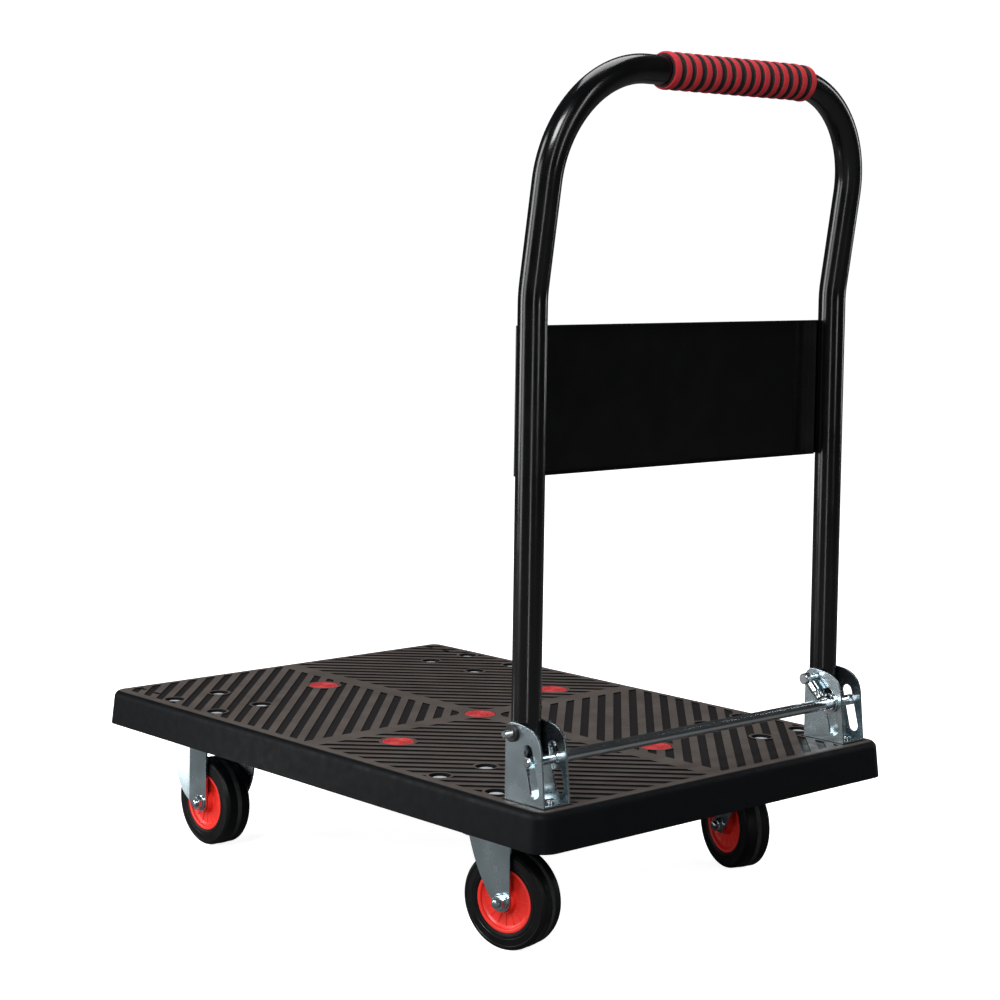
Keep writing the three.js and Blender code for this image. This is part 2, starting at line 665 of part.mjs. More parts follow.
function grip() {
  const straightEnd = TUBE_Y - HANDLE_CORNER_RADIUS;
  const level = Math.PI / 2;
  const stations = [station(TOP_LENGTH, GRIP_LEFT_END, level), station(TOP_LENGTH, -straightEnd, level)];
  const bentLength = GRIP_LENGTH - GRIP_LEFT_END - straightEnd;
  const bentSteps = 3;
  for (let i = 1; i <= bentSteps; i += 1) {
    const angle = (bentLength / HANDLE_CORNER_RADIUS) * (i / bentSteps);
    stations.push(cornerStation(level - angle, -1));
  }
  return sweptRing(GRIP_RADIUS, TUBE_RADIUS + GRIP_ROOM, stations);
}

function tubeEndPlug(side) {
  const flange = TUBE_RADIUS - PLUG_INSET;
  const ledge = TUBE_END_BELOW_PIVOT + GAP;
  const stem = TUBE_RADIUS - TUBE_WALL - GAP;
  const stemTop = PLUG_STEM_LENGTH - ledge;
  const domeSteps = 4;
  const outline = [];
  for (let i = 0; i <= domeSteps; i += 1) {
    const angle = Math.asin(flange / TUBE_END_REACH) * (i / domeSteps);
    outline.push([TUBE_END_REACH * Math.sin(angle), -TUBE_END_REACH * Math.cos(angle)]);
  }
  outline.push([flange, -ledge], [stem, -ledge], [stem, stemTop], [0, stemTop]);
  const geometry = new THREE.LatheGeometry(outline.map(([r, z]) => new THREE.Vector2(r, z)), SHAFT_SIDES);
  geometry.rotateX(Math.PI / 2);
  geometry.translate(TUBE_X, side * TUBE_Y, PIVOT_HEIGHT);
  return solidOf(geometry);
}

function panel() {
  const back = TUBE_X + TUBE_RADIUS + GAP;
  const front = back + PANEL_SHEET;
  const [y, lipY] = [PANEL_HALF_WIDTH, PANEL_LIP_HALF_WIDTH];
  const sheet = box([back, -y, PANEL_BOTTOM], [front, y, PANEL_TOP]);
  const tray = box([back - PANEL_LIP, -lipY, PANEL_BOTTOM], [front, lipY, PANEL_TOP]);
  const t = PANEL_SHEET;
  const hollow = box(
    [back - PANEL_LIP - OVERCUT, t - lipY, PANEL_BOTTOM + t], [back, lipY - t, PANEL_TOP - t],
  );
  return joined(sheet, cut(tray, hollow));
}

// ---------- brackets, pivots and lock rod ----------

const BRACKET_FLOOR = DECK_TOP - BRACKET_RECESS + GAP;
const CHEEK_OUTER = BRACKET_INNER_GAP / 2 + BRACKET_SHEET; // from the tube's centre line, both ways
const ROD_X = TUBE_X - ROD_BEHIND_PIVOT;
const ROD_Z = PIVOT_HEIGHT - ROD_BELOW_PIVOT;

function cheekOutline() {
  const r = BRACKET_LOBE_RADIUS;
  const shape = new THREE.Shape();
  shape.moveTo(TUBE_X - BRACKET_FOOT_REAR, BRACKET_FLOOR);
  shape.lineTo(TUBE_X + BRACKET_FOOT_FRONT, BRACKET_FLOOR);
  shape.lineTo(TUBE_X + BRACKET_FOOT_FRONT, BRACKET_FLOOR + BRACKET_SHEET);
  shape.quadraticCurveTo(
    TUBE_X + r, BRACKET_FLOOR + BRACKET_FLARE_PULL,
    TUBE_X + r, BRACKET_FLOOR + BRACKET_FLARE_HEIGHT,
  );
  shape.absarc(TUBE_X, PIVOT_HEIGHT, r, 0, Math.PI / 2);
  const [lobeTop, rear] = [PIVOT_HEIGHT + r, TUBE_X - BRACKET_CHEEK_REAR];
  shape.bezierCurveTo(
    TUBE_X - BRACKET_SHOULDER_BACK, lobeTop,
    rear + BRACKET_REAR_INSET, lobeTop - BRACKET_REAR_DROP,
    rear, DECK_TOP + BRACKET_CHEEK_REAR_HEIGHT,
  );
  shape.closePath();
  return shape;
}

// The slanted slot that the lock rod slides in.
function slotCutter(from, to) {
  const [dx, dz] = [-Math.sin(SLOT_LEAN), -Math.cos(SLOT_LEAN)];
  const topX = ROD_X - dx * SLOT_ABOVE_ROD;
  const topZ = ROD_Z - dz * SLOT_ABOVE_ROD;
  const endX = ROD_X + dx * (ROD_TRAVEL + SLOT_SPARE);
  const endZ = ROD_Z + dz * (ROD_TRAVEL + SLOT_SPARE);
  const shape = new THREE.Shape();
  shape.absarc(topX, topZ, SLOT_RADIUS, -SLOT_LEAN, Math.PI - SLOT_LEAN);
  shape.absarc(endX, endZ, SLOT_RADIUS, Math.PI - SLOT_LEAN, 2 * Math.PI - SLOT_LEAN);
  shape.closePath();
  return extrudedAlongY(shape, from, to);
}

function bracket(side) {
  const y = side * TUBE_Y;
  const [from, to] = [y - CHEEK_OUTER, y + CHEEK_OUTER];
  const halfGap = BRACKET_INNER_GAP / 2;
  const far = 2 * BRACKET_FOOT_REAR;
  const channel = box(
    [TUBE_X - far, y - halfGap, BRACKET_FLOOR + BRACKET_SHEET], [TUBE_X + far, y + halfGap, HANDLE_HEIGHT],
  );
  const pivotHole = cylinderY(PIVOT_RADIUS + GAP, from - OVERCUT, to + OVERCUT, TUBE_X, PIVOT_HEIGHT);
  const baseHoles = BASE_BOLT_PLACES.map(([, x]) => cylinderZ(
    BASE_BOLT_RADIUS + GAP, DECK_BOTTOM, BRACKET_FLOOR + 2 * BRACKET_SHEET, TUBE_X + x, y, BOLT_SIDES,
  ));
  const slot = slotCutter(from - OVERCUT, to + OVERCUT);
  return cut(extrudedAlongY(cheekOutline(), from, to), channel, pivotHole, slot, ...baseHoles);
}

function baseBolt(x, y) {
  const seat = BRACKET_FLOOR + BRACKET_SHEET + GAP;
  const shaft = cylinderZ(BASE_BOLT_RADIUS, seat - BASE_BOLT_LENGTH, seat + ROOTED, x, y, BOLT_SIDES);
  return joined(shaft, cylinderZ(BASE_BOLT_HEAD_RADIUS, seat, seat + BASE_BOLT_HEAD_HEIGHT, x, y));
}

// Across-Y places are given outwards from the cart's middle, then mirrored for the right side.
function acrossY(side, inner, outer) {
  return side > 0 ? [inner, outer] : [-outer, -inner];
}

const SPRING_CENTRE_Y = TUBE_Y - CHEEK_OUTER - GAP - ROD_WASHER_THICKNESS - GAP - SPRING_RADIUS;

function pivotBolt(side) {
  const headOuter = SPRING_CENTRE_Y - SPRING_EYE_THICKNESS / 2 - GAP;
  const threadEnd = TUBE_Y + CHEEK_OUTER + GAP + PIVOT_NUT_THICKNESS + PIVOT_THREAD_END;
  const shaftY = acrossY(side, headOuter - ROOTED, threadEnd);
  const headY = acrossY(side, headOuter - PIVOT_HEAD_HEIGHT, headOuter);
  const shaft = cylinderY(PIVOT_RADIUS, ...shaftY, TUBE_X, PIVOT_HEIGHT);
  return joined(shaft, cylinderY(PIVOT_HEAD_RADIUS, ...headY, TUBE_X, PIVOT_HEIGHT));
}

function pivotNut(side) {
  const seat = TUBE_Y + CHEEK_OUTER + GAP;
  const places = acrossY(side, seat, seat + PIVOT_NUT_THICKNESS);
  return tubeY(PIVOT_NUT_RADIUS, PIVOT_RADIUS + GAP, ...places, TUBE_X, PIVOT_HEIGHT);
}

const HEX_INNER_Y = TUBE_Y + BRACKET_INNER_GAP / 2 - ROD_HEX_INSET;
const HEX_OUTER_Y = TUBE_Y + CHEEK_OUTER + ROD_HEX_STANDOUT;

function lockRod() {
  const places = [
    [ROD_RADIUS, TUBE_Y - BRACKET_INNER_GAP / 2 - GAP],
    [ROD_NECK_RADIUS, HEX_INNER_Y - GAP],
    [ROD_END_RADIUS, HEX_OUTER_Y + ROD_THREAD_END],
  ];
  const half = places.flatMap(([r, y], i) => [[r, i ? places[i - 1][1] : 0], [r, y]]);
  const end = [0, HEX_OUTER_Y + ROD_THREAD_END];
  const mirrored = [...half, end].reverse().map(([r, y]) => [r, -y]);
  const outline = [...mirrored, ...half.slice(1), end];
  const geometry = new THREE.LatheGeometry(outline.map(([r, y]) => new THREE.Vector2(r, y)), CORE_SIDES);
  geometry.translate(ROD_X, 0, ROD_Z);
  return solidOf(geometry);
}

function rodWasher(side) {
  const outer = TUBE_Y - CHEEK_OUTER - GAP;
  const places = acrossY(side, outer - ROD_WASHER_THICKNESS, outer);
  return tubeY(ROD_WASHER_RADIUS, ROD_RADIUS + GAP, ...places, ROD_X, ROD_Z, LARGE_SIDES);
}

function rodEnd(side) {
  const [from, to] = acrossY(side, HEX_INNER_Y, HEX_OUTER_Y);
  const hexagon = cylinderY(ROD_HEX_RADIUS, from, to, ROD_X, ROD_Z, HEX_SIDES);
  return cut(hexagon, cylinderY(ROD_END_RADIUS + GAP, from - OVERCUT, to + OVERCUT, ROD_X, ROD_Z));
}

// A round bar along the line from the pivot to the lock rod, in the spring's plane.
function springBar(radius, from, to, side) {
  const bar = new THREE.CylinderGeometry(radius, radius, to - from, SHAFT_SIDES);
  bar.rotateX(Math.PI / 2);
  bar.translate(0, 0, -(from + to) / 2);
  bar.rotateY(Math.atan2(ROD_BEHIND_PIVOT, ROD_BELOW_PIVOT));
  bar.translate(TUBE_X, side * SPRING_CENTRE_Y, PIVOT_HEIGHT);
  return solidOf(bar);
}

// A closed stand-in for the coil, with an eye at each end.
function spring(side) {
  const y = side * SPRING_CENTRE_Y;
  const half = SPRING_EYE_THICKNESS / 2;
  const run = Math.hypot(ROD_BEHIND_PIVOT, ROD_BELOW_PIVOT);
  const coil = springBar(SPRING_RADIUS, PIVOT_HEAD_RADIUS + GAP, run - ROD_RADIUS - 2 * GAP, side);
  const neck = springBar(half, PIVOT_RADIUS, run - ROD_RADIUS, side);
  const eyes = [[PIVOT_RADIUS, TUBE_X, PIVOT_HEIGHT], [ROD_RADIUS, ROD_X, ROD_Z]];
  const rings = eyes.map(([r, x, z]) => cylinderY(r + GAP + SPRING_EYE_WALL, y - half, y + half, x, z));
  const reach = 2 * SPRING_RADIUS;
  const rooms = eyes.map(([r, x, z]) => cylinderY(r + GAP, y - reach, y + reach, x, z));
  return cut(joined(coil, neck, ...rings), ...rooms);
}

// ---------- assembly ----------

function node(name, solid, material) {
  const mesh = new THREE.Mesh(geometryOf(solid), material);
  mesh.name = name;
  return mesh;
}

function wheelNodes(name, axleX, nutSide) {
  const wheel = new THREE.Group();
  wheel.position.set(axleX, 0, WHEEL_RADIUS);
  wheel.add(
    node(`${name}_tyre`, tyre(), rubber),
    node(`${name}_wheel_core`, wheelCore(), redPlastic),
    node(`${name}_axle_bush`, axleBush(), brightSteel),
    node(`${name}_axle_bolt`, axleBolt(nutSide), zinc),
    node(`${name}_axle_nut`, axleNut(nutSide), zinc),
  );
  return wheel;
}

function fixedCaster(name, side) {
  const caster = new THREE.Group();
  caster.position.set(CASTER_X, side * CASTER_Y, 0);
  caster.add(node(`${name}_fork`, fixedFork(), zinc), wheelNodes(name, FIXED_AXLE_OFFSET, 1));
  return caster;
}

function swivelCaster(name, side, turn, nutSide) {
  const caster = new THREE.Group();
  caster.position.set(-CASTER_X, side * CASTER_Y, 0);
  const turning = new THREE.Group();
  turning.rotation.z = THREE.MathUtils.degToRad(turn);
  turning.add(node(`${name}_fork`, swivelFork(), zinc), wheelNodes(name, -SWIVEL_TRAIL, nutSide));
  caster.add(
    node(`${name}_plate`, swivelPlate(), zinc),
    node(`${name}_race`, swivelRace(), zinc),
    node(`${name}_king_pin`, kingPin(), brightSteel),
    turning,
  );
  return caster;
}

const cart = new THREE.Group();
cart.add(node('deck', deck(), deckPlastic));
for (const [name, x, y] of DISC_PLACES) {
  cart.add(node(`deck_disc_${name}`, deckDisc(x, y), redPlastic));
}
for (const [name, side] of SIDES) {
  const nutSide = Math.cos(THREE.MathUtils.degToRad(SWIVEL_TURN[name])) > 0 ? 1 : -1;
  cart.add(
    fixedCaster(`fixed_caster_${name}`, side),
    swivelCaster(`swivel_caster_${name}`, side, SWIVEL_TURN[name], nutSide),
    node(`bracket_${name}`, bracket(side), zinc),
    node(`pivot_bolt_${name}`, pivotBolt(side), brightSteel),
    node(`pivot_nut_${name}`, pivotNut(side), blackPlastic),
    node(`rod_washer_${name}`, rodWasher(side), brightSteel),
    node(`rod_end_${name}`, rodEnd(side), brightSteel),
    node(`lock_spring_${name}`, spring(side), brightSteel),
    node(`handle_plug_${name}`, tubeEndPlug(side), blackPlastic),
  );
  for (const [place, x] of BASE_BOLT_PLACES) {
    cart.add(node(`base_bolt_${name}_${place}`, baseBolt(TUBE_X + x, side * TUBE_Y), brightSteel));
  }
}
cart.add(
  node('handle_tube', handleTube(), blackPaint),
  node('handle_panel', panel(), blackPaint),
  node('handle_grip', grip(), foam),
  node('lock_rod', lockRod(), brightSteel),
);

export default cart;
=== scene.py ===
"""Looks of the folding platform cart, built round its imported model.

The model is in metres, +Z up, +X away from the handle and +Y across the deck to the left.
Builders here take millimetres, and mesh_object() turns them into metres.
"""
import json
import math

import bmesh
import bpy
from mathutils import Matrix, Vector


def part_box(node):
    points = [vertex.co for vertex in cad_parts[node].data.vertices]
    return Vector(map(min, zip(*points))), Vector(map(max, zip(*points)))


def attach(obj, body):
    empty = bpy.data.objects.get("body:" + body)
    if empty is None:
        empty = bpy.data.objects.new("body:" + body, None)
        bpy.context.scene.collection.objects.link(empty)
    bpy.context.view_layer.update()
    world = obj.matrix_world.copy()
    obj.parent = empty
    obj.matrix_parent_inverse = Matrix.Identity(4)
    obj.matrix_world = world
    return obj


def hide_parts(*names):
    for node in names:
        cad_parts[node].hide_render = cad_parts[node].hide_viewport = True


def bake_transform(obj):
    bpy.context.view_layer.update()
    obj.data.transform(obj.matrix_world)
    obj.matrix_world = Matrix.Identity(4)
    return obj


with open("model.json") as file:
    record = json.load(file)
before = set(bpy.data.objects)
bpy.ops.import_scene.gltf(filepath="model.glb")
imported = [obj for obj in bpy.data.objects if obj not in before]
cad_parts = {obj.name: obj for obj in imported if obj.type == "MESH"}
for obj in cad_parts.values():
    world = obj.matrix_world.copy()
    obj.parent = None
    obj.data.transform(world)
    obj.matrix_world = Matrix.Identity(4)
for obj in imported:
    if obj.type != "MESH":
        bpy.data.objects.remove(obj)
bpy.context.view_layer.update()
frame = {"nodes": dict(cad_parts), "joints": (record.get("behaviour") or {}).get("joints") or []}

MM = 0.001
GAP = 0.3
SIDES = (("left", 1), ("right", -1))


# ---------- places read from the frame, in millimetres ----------


def low_high(node):
    low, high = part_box(node)
    return low / MM, high / MM


def middle(node):
    low, high = low_high(node)
    return (low + high) / 2


def joint(name):
    return next(j for j in frame["joints"] if j["name"] == name)


def joint_place(name):
    return Vector(joint(name)["pos_m"]) / MM


DECK_LOW, DECK_HIGH = low_high("deck")
DECK_TOP = DECK_HIGH.z
DECK_BOTTOM = DECK_LOW.z
HALF_LENGTH = DECK_HIGH.x
HALF_WIDTH = DECK_HIGH.y
PIVOT = joint_place("handle_fold")
TUBE_Y = middle("bracket_left").y
WHEEL_RADIUS = low_high("fixed_caster_left_tyre")[1].z / 2
CASTER_X = middle("swivel_caster_left_plate").x * -1
CASTER_Y = middle("swivel_caster_left_plate").y
PLATE_TOP = low_high("swivel_caster_left_plate")[1].z
ROD = middle("lock_rod")

# ---------- driving dimensions, in millimetres ----------

DECK_CORNER_RADIUS = 20
DECK_EDGE_RADIUS = 8
DECK_DRAFT = 3.2
DECK_WALL = 4
DECK_SKIN = 6
RIB_THICKNESS = 3
RIB_RISE = 2  # the ribs stop this far above the skirt's lower edge
CELLS_ALONG = 11
CELLS_ACROSS = 7
BOSS_RADIUS = 9

STRIPE_PITCH = 18.2
STRIPE_WIDTH = 9.1
STRIPE_DEPTH = 1.2
STRIPE_CORNER = 1.4
FIRST_STRIPE = 28.3  # from the deck's centre, square to the stripes
APEX_RADIUS = 18  # rounds the stripe next to the centre disc
BORDER = 18  # from the deck's outer edge to the stripes
CROSS_BAND = 11.5  # half the plain band along each centre line
LAND = 3.5  # plain ring left round each pocket and disc

POCKET_RADIUS = 10.5
POCKET_DEPTH = 3.4
CASTER_BOLT_X = 84.5
CASTER_BOLT_Y = 62
DISC_RADIUS = 17.5
DISC_THICKNESS = 2.4
CORNER_SLOTS = ((350, 222), (319, 223))
CORNER_SLOT_SIZE = (13, 5.5)
CORNER_SLOT_DEPTH = 4

BRACKET_INNER_GAP = 30
BRACKET_SHEET = 2.5
BRACKET_RECESS = 0.8
BRACKET_RECESS_MARGIN = 2.5
BRACKET_LAND = 6  # plain border round each bracket's foot
BRACKET_FOOT_FRONT = 10
BRACKET_FOOT_REAR = 45
BRACKET_CHEEK_REAR = 40.5
BRACKET_CHEEK_REAR_HEIGHT = 46
BRACKET_LOBE_RADIUS = 10
CHEEK_OUTER = BRACKET_INNER_GAP / 2 + BRACKET_SHEET
BRACKET_FLOOR = DECK_TOP - BRACKET_RECESS + GAP
BASE_BOLTS = (("front", 0), ("rear", -33))
SLOT_RADIUS = 6.3
SLOT_LEAN = math.radians(14.7)
SLOT_ABOVE_ROD = 10.5
SLOT_BELOW_ROD = 28
SHOULDER_BACK = 30  # how far back the cheek's top edge heads before it turns down its rear edge
REAR_INSET = 1
REAR_DROP = 8
SWEEP_HEIGHT = 16  # the cheek's front edge sweeps out to the foot below this
SWEEP_PULL = 6

BOLT_RADIUS = 4
BOLT_HOLE = 4.3
BASE_BOLT_LENGTH = 24
BASE_BOLT_HEAD = 6.5
BASE_BOLT_HEAD_HEIGHT = 4
PIVOT_HEAD = 6
PIVOT_NUT = 8.5
PIVOT_NUT_THICKNESS = 3
PIVOT_THREAD_END = 8.5
ROD_RADIUS = 6
ROD_NECK_RADIUS = 4.8  # between the cheeks
ROD_END_RADIUS = 4  # inside the hexagon
ROD_HEX_RADIUS = 5.9
ROD_HEX_INSET = 5
ROD_HEX_STANDOUT = 3.5
WASHER_RADIUS = 11.5
WASHER_THICKNESS = 2.2
SLEEVE_END = 17  # of the lock spring's sleeve, from the pivot
COIL_RADIUS = 3.7
COIL_WIRE = 0.8
COIL_TURNS = 5
EYE_WALL = 1.8

FORK_SHEET = 2.5
FORK_INNER_GAP = 35
FORK_HALF = FORK_INNER_GAP / 2 + FORK_SHEET
FORK_BEND = 5
FORK_END_RADIUS = 10
FORK_LONG_EDGE = 41
FIXED_AXLE_OFFSET = 4.5
FLARE_LINE = 22  # ahead of the axle, where the fixed fork's flange turns outwards
FLARE_ANGLE = math.radians(24)
CROWN_TOP = 115.5
CROWN_RADIUS = 30
SWIVEL_TRAIL = 28.2
FIXED_LEG = (13, (40, 58.5), 94.5)  # where the sole ends, the front edge's pull, and its top
SWIVEL_LEG = (3, (30, 70.5), CROWN_TOP)
PLATE_LENGTH = 104
PLATE_WIDTH = 82
PLATE_THICKNESS = 2.5
PLATE_CORNER_RADIUS = 8
PLATE_ROOM = 4  # clear of the ribs, all round

TYRE_HALF_WIDTH = 16
TYRE_BORE = 32.7
CORE_RADIUS = 32.4
AXLE_HEX_RADIUS = 7.5
AXLE_HEAD_HEIGHT = 5
AXLE_NUT_HEIGHT = 6.5

TUBE_RADIUS = 14.5
LEAN = math.radians(8.9)
LEAN_START = 640.5
LEAN_RADIUS = 125
CORNER_RADIUS = 113
TOP_CENTRE = 868
GRIP_RADIUS = 18.9
GRIP_LEFT_END = 85
GRIP_LENGTH = 209.5
GRIP_RIBS = 15
GRIP_GROOVE_DEPTH = 2.4
GRIP_RIB_SHARE = 0.6  # of each pitch
LINING_RADIUS = 16.8
TUBE_END_REACH = 28.6
PANEL_SHEET = 1.2
PANEL_LIP_Y = 204  # where its turned edges end, short of the tubes
PLUG_STEM_RADIUS = 12.7
PLUG_STEM_LENGTH = 11


# ---------- mesh helpers ----------


def in_scene(name, data):
    obj = bpy.data.objects.new(name, data)
    bpy.context.scene.collection.objects.link(obj)
    return obj


def mesh_object(name, points, faces, place=None):
    mesh = bpy.data.meshes.new(name)
    placed = [(place @ Vector(p) if place else Vector(p)) * MM for p in points]
    mesh.from_pydata([tuple(p) for p in placed], [], faces)
    work = bmesh.new()
    work.from_mesh(mesh)
    bmesh.ops.recalc_face_normals(work, faces=work.faces)
    work.to_mesh(mesh)
    work.free()
    return in_scene(name, mesh)


def settle(obj):
    """Turns an object's modifiers into its mesh."""
    graph = bpy.context.evaluated_depsgraph_get()
    mesh = bpy.data.meshes.new_from_object(obj.evaluated_get(graph))
    obj.modifiers.clear()
    obj.data = mesh
    return obj


def combine(obj, operation, *others):
    for other in others:
        modifier = obj.modifiers.new("combine", "BOOLEAN")
        modifier.operation = operation
        modifier.solver = "EXACT"
        modifier.object = other
    bpy.context.view_layer.update()
    settle(obj)
    for other in others:
        bpy.data.objects.remove(other)
    return obj


def cut(obj, *cutters):
    return combine(obj, "DIFFERENCE", *cutters)


def joined(obj, *others):
    return combine(obj, "UNION", *others)


def shared(obj, other):
    return combine(obj, "INTERSECT", other)


def rounded_edges(obj, width, steps=2, sharper_than=35):
    modifier = obj.modifiers.new("edges", "BEVEL")
    modifier.width = width * MM
    modifier.segments = steps
    modifier.limit_method = "ANGLE"
    modifier.angle_limit = math.radians(sharper_than)
    modifier.use_clamp_overlap = True
    return settle(obj)


def arc(x, y, radius, start, end, steps):
    turns = [start + (end - start) * i / steps for i in range(steps + 1)]
    return [(x + radius * math.cos(t), y + radius * math.sin(t)) for t in turns]


def circle(x, y, radius, sides):
    return arc(x, y, radius, 0, 2 * math.pi * (sides - 1) / sides, sides - 1)


def bezier(pulls, steps):
    """Points of the curve from the first pull to the last, leaving out the first."""
    order = len(pulls) - 1
    points = []
    for i in range(1, steps + 1):
        t = i / steps
        weights = [math.comb(order, n) * (1 - t) ** (order - n) * t**n for n in range(order + 1)]
        points.append(tuple(sum(w * pull[k] for w, pull in zip(weights, pulls)) for k in (0, 1)))
    return points


def rounded_rectangle(half_x, half_y, radius, steps=8):
    x, y = half_x - radius, half_y - radius
    corners = ((x, y), (-x, y), (-x, -y), (x, -y))
    points = []
    for i, (cx, cy) in enumerate(corners):
        points += arc(cx, cy, radius, i * math.pi / 2, (i + 1) * math.pi / 2, steps)
    return points


def loft(name, rings, place=None):
    """Closed body through rings of equal length; each ring is a list of points."""
    count = len(rings[0])
    points = [p for ring in rings for p in ring]
    faces = []
    for r in range(len(rings) - 1):
        for i in range(count):
            j = (i + 1) % count
            faces.append((r * count + i, r * count + j, (r + 1) * count + j, (r + 1) * count + i))
    faces.append(tuple(range(count)))
    faces.append(tuple(range((len(rings) - 1) * count, len(rings) * count)))
    return mesh_object(name, points, faces, place)


def prism(name, outline, low, high, along="Z", place=None):
    """An outline given thickness: along Z it is in X and Y, along Y in X and Z, along X in Y and Z."""
    axis = "XYZ".index(along)
    rings = [[(*point[:axis], height, *point[axis:]) for point in outline] for height in (low, high)]
    return loft(name, rings, place)


def block(name, low, high):
    outline = [(low[0], low[1]), (high[0], low[1]), (high[0], high[1]), (low[0], high[1])]
    return prism(name, outline, low[2], high[2])


def lathe(name, profile, place=None, segments=64, closed=False):
    """Turns (radius, height) points about local Z; an open profile starts and ends on the axis."""
    points, rings, faces = [], [], []
    for radius, height in profile:
        if radius < 1e-6:
            rings.append([len(points)])
            points.append((0, 0, height))
            continue
        rings.append(list(range(len(points), len(points) + segments)))
        for i in range(segments):
            turn = 2 * math.pi * i / segments
            points.append((radius * math.cos(turn), radius * math.sin(turn), height))
    pairs = list(zip(rings, rings[1:]))
    if closed:
        pairs.append((rings[-1], rings[0]))
    for a, b in pairs:
        for i in range(segments):
            j = (i + 1) % segments
            corners = [a[i % len(a)], a[j % len(a)], b[j % len(b)], b[i % len(b)]]
            faces.append(tuple(dict.fromkeys(corners)))
    return mesh_object(name, points, faces, place)


def merged(name, objects):
    """Several meshes as one object, for cutters that don't touch."""
    work = bmesh.new()
    for obj in objects:
        work.from_mesh(obj.data)
        bpy.data.objects.remove(obj)
    mesh = bpy.data.meshes.new(name)
    work.to_mesh(mesh)
    work.free()
    return in_scene(name, mesh)


def facing_y(x, y, z, side=1):
    """Puts local Z along +Y or -Y, at a place."""
    return Matrix.Translation((x, y, z)) @ Matrix.Rotation(-side * math.pi / 2, 4, "X")


def at(x, y, z):
    return Matrix.Translation((x, y, z))


def sweep(name, stations, radii, sides):
    """A round body along stations of (point, tangent), with a radius at each."""
    first = stations[0][1].normalized()
    across = first.orthogonal().normalized()
    rings = []
    before = first
    for (point, tangent), radius in zip(stations, radii):
        tangent = tangent.normalized()
        across = before.rotation_difference(tangent) @ across
        other = tangent.cross(across)
        turns = [2 * math.pi * i / sides for i in range(sides)]
        rings.append([point + across * radius * math.cos(t) + other * radius * math.sin(t) for t in turns])
        before = tangent
    return loft(name, rings)


def hexagon(name, radius, height, place, bore=0):
    """A nut or bolt head with its corners chamfered, from local z = 0 upwards."""
    flats = prism(name, arc(0, 0, radius, 0, 5 * math.pi / 3, 5), 0, height, "Z", place)
    chamfer_start = height - radius * 0.15
    cone = [(0, -1), (radius + 1, -1), (radius + 1, chamfer_start), (radius * 0.88, height + 0.01)]
    shared(flats, lathe("chamfer", cone + [(0, height + 0.01)], place, 48))
    if bore:
        cut(flats, lathe("bore", [(0, -1), (bore, -1), (bore, height + 1), (0, height + 1)], place, 32))
    return rounded_edges(flats, 0.2, 1)


def bolt_hole(reach, place):
    """A cutter for a bolt's hole, as far as the reach both ways along local Z."""
    return lathe("hole", [(0, -reach), (BOLT_HOLE, -reach), (BOLT_HOLE, reach), (0, reach)], place, 40)


def domed_head(radius, seat, side, dome, turns):
    """Profile points of a low head on a bolt: its underside, its side and its dome."""
    rim = seat + side
    points = [(BOLT_RADIUS, seat), (radius, seat), (radius, rim)]
    return points + [(radius * math.cos(t), rim + dome * math.sin(t)) for t in turns]


def thread(radius, start, end, pitch=1.25, depth=0.45):
    """Profile points of a threaded stretch that ends in a chamfer."""
    points = []
    height = start
    while height + pitch < end - depth:
        points += [(radius, height + pitch * 0.2), (radius - depth, height + pitch * 0.7)]
        height += pitch
    points += [(radius, height + pitch * 0.2), (radius - depth * 2, end)]
    return points


# ---------- materials ----------


class Nodes:
    """A material's node tree, with short calls for the nodes used here."""

    def __init__(self, name):
        self.material = bpy.data.materials.new(name)
        self.material.use_nodes = True
        self.tree = self.material.node_tree
        self.shader = self.tree.nodes["Principled BSDF"]

    def add(self, kind, **settings):
        node = self.tree.nodes.new(kind)
        for key, value in settings.items():
            setattr(node, key, value)
        return node

    def link(self, source, target):
        self.tree.links.new(source, target)

    def place(self, scale=(1, 1, 1)):
        coordinates = self.add("ShaderNodeTexCoord")
        mapping = self.add("ShaderNodeMapping")
        mapping.inputs["Scale"].default_value = scale
        self.link(coordinates.outputs["Object"], mapping.inputs["Vector"])
        return mapping.outputs["Vector"]

    def noise(self, scale, detail=4, stretch=(1, 1, 1)):
        node = self.add("ShaderNodeTexNoise")
        node.inputs["Scale"].default_value = scale
        node.inputs["Detail"].default_value = detail
        self.link(self.place(stretch), node.inputs["Vector"])
        return node.outputs["Fac"]

    def cells(self, scale):
        node = self.add("ShaderNodeTexVoronoi")
        node.inputs["Scale"].default_value = scale
        self.link(self.place(), node.inputs["Vector"])
        return node.outputs["Color"]

    def spread(self, value, *limits):
        """Carries a value from one range to another; the limits are from low, high, to low, high."""
        node = self.add("ShaderNodeMapRange")
        for key, number in zip(("From Min", "From Max", "To Min", "To Max"), limits):
            node.inputs[key].default_value = number
        self.link(value, node.inputs["Value"])
        return node.outputs["Result"]

    def mix(self, factor, first, second):
        node = self.add("ShaderNodeMix", data_type="RGBA")
        self.link(factor, node.inputs["Factor"])
        for socket, value in ((node.inputs[6], first), (node.inputs[7], second)):
            if isinstance(value, tuple):
                socket.default_value = (*value, 1)
            else:
                self.link(value, socket)
        return node.outputs[2]

    def bump(self, height, distance, strength=1.0):
        node = self.add("ShaderNodeBump")
        node.inputs["Distance"].default_value = distance * MM
        node.inputs["Strength"].default_value = strength
        self.link(height, node.inputs["Height"])
        self.link(node.outputs["Normal"], self.shader.inputs["Normal"])

    def color(self, value):
        self.link(value, self.shader.inputs["Base Color"])

    def roughness(self, value):
        self.link(value, self.shader.inputs["Roughness"])

    def set(self, **numbers):
        for key, number in numbers.items():
            self.shader.inputs[key.replace("_", " ")].default_value = number


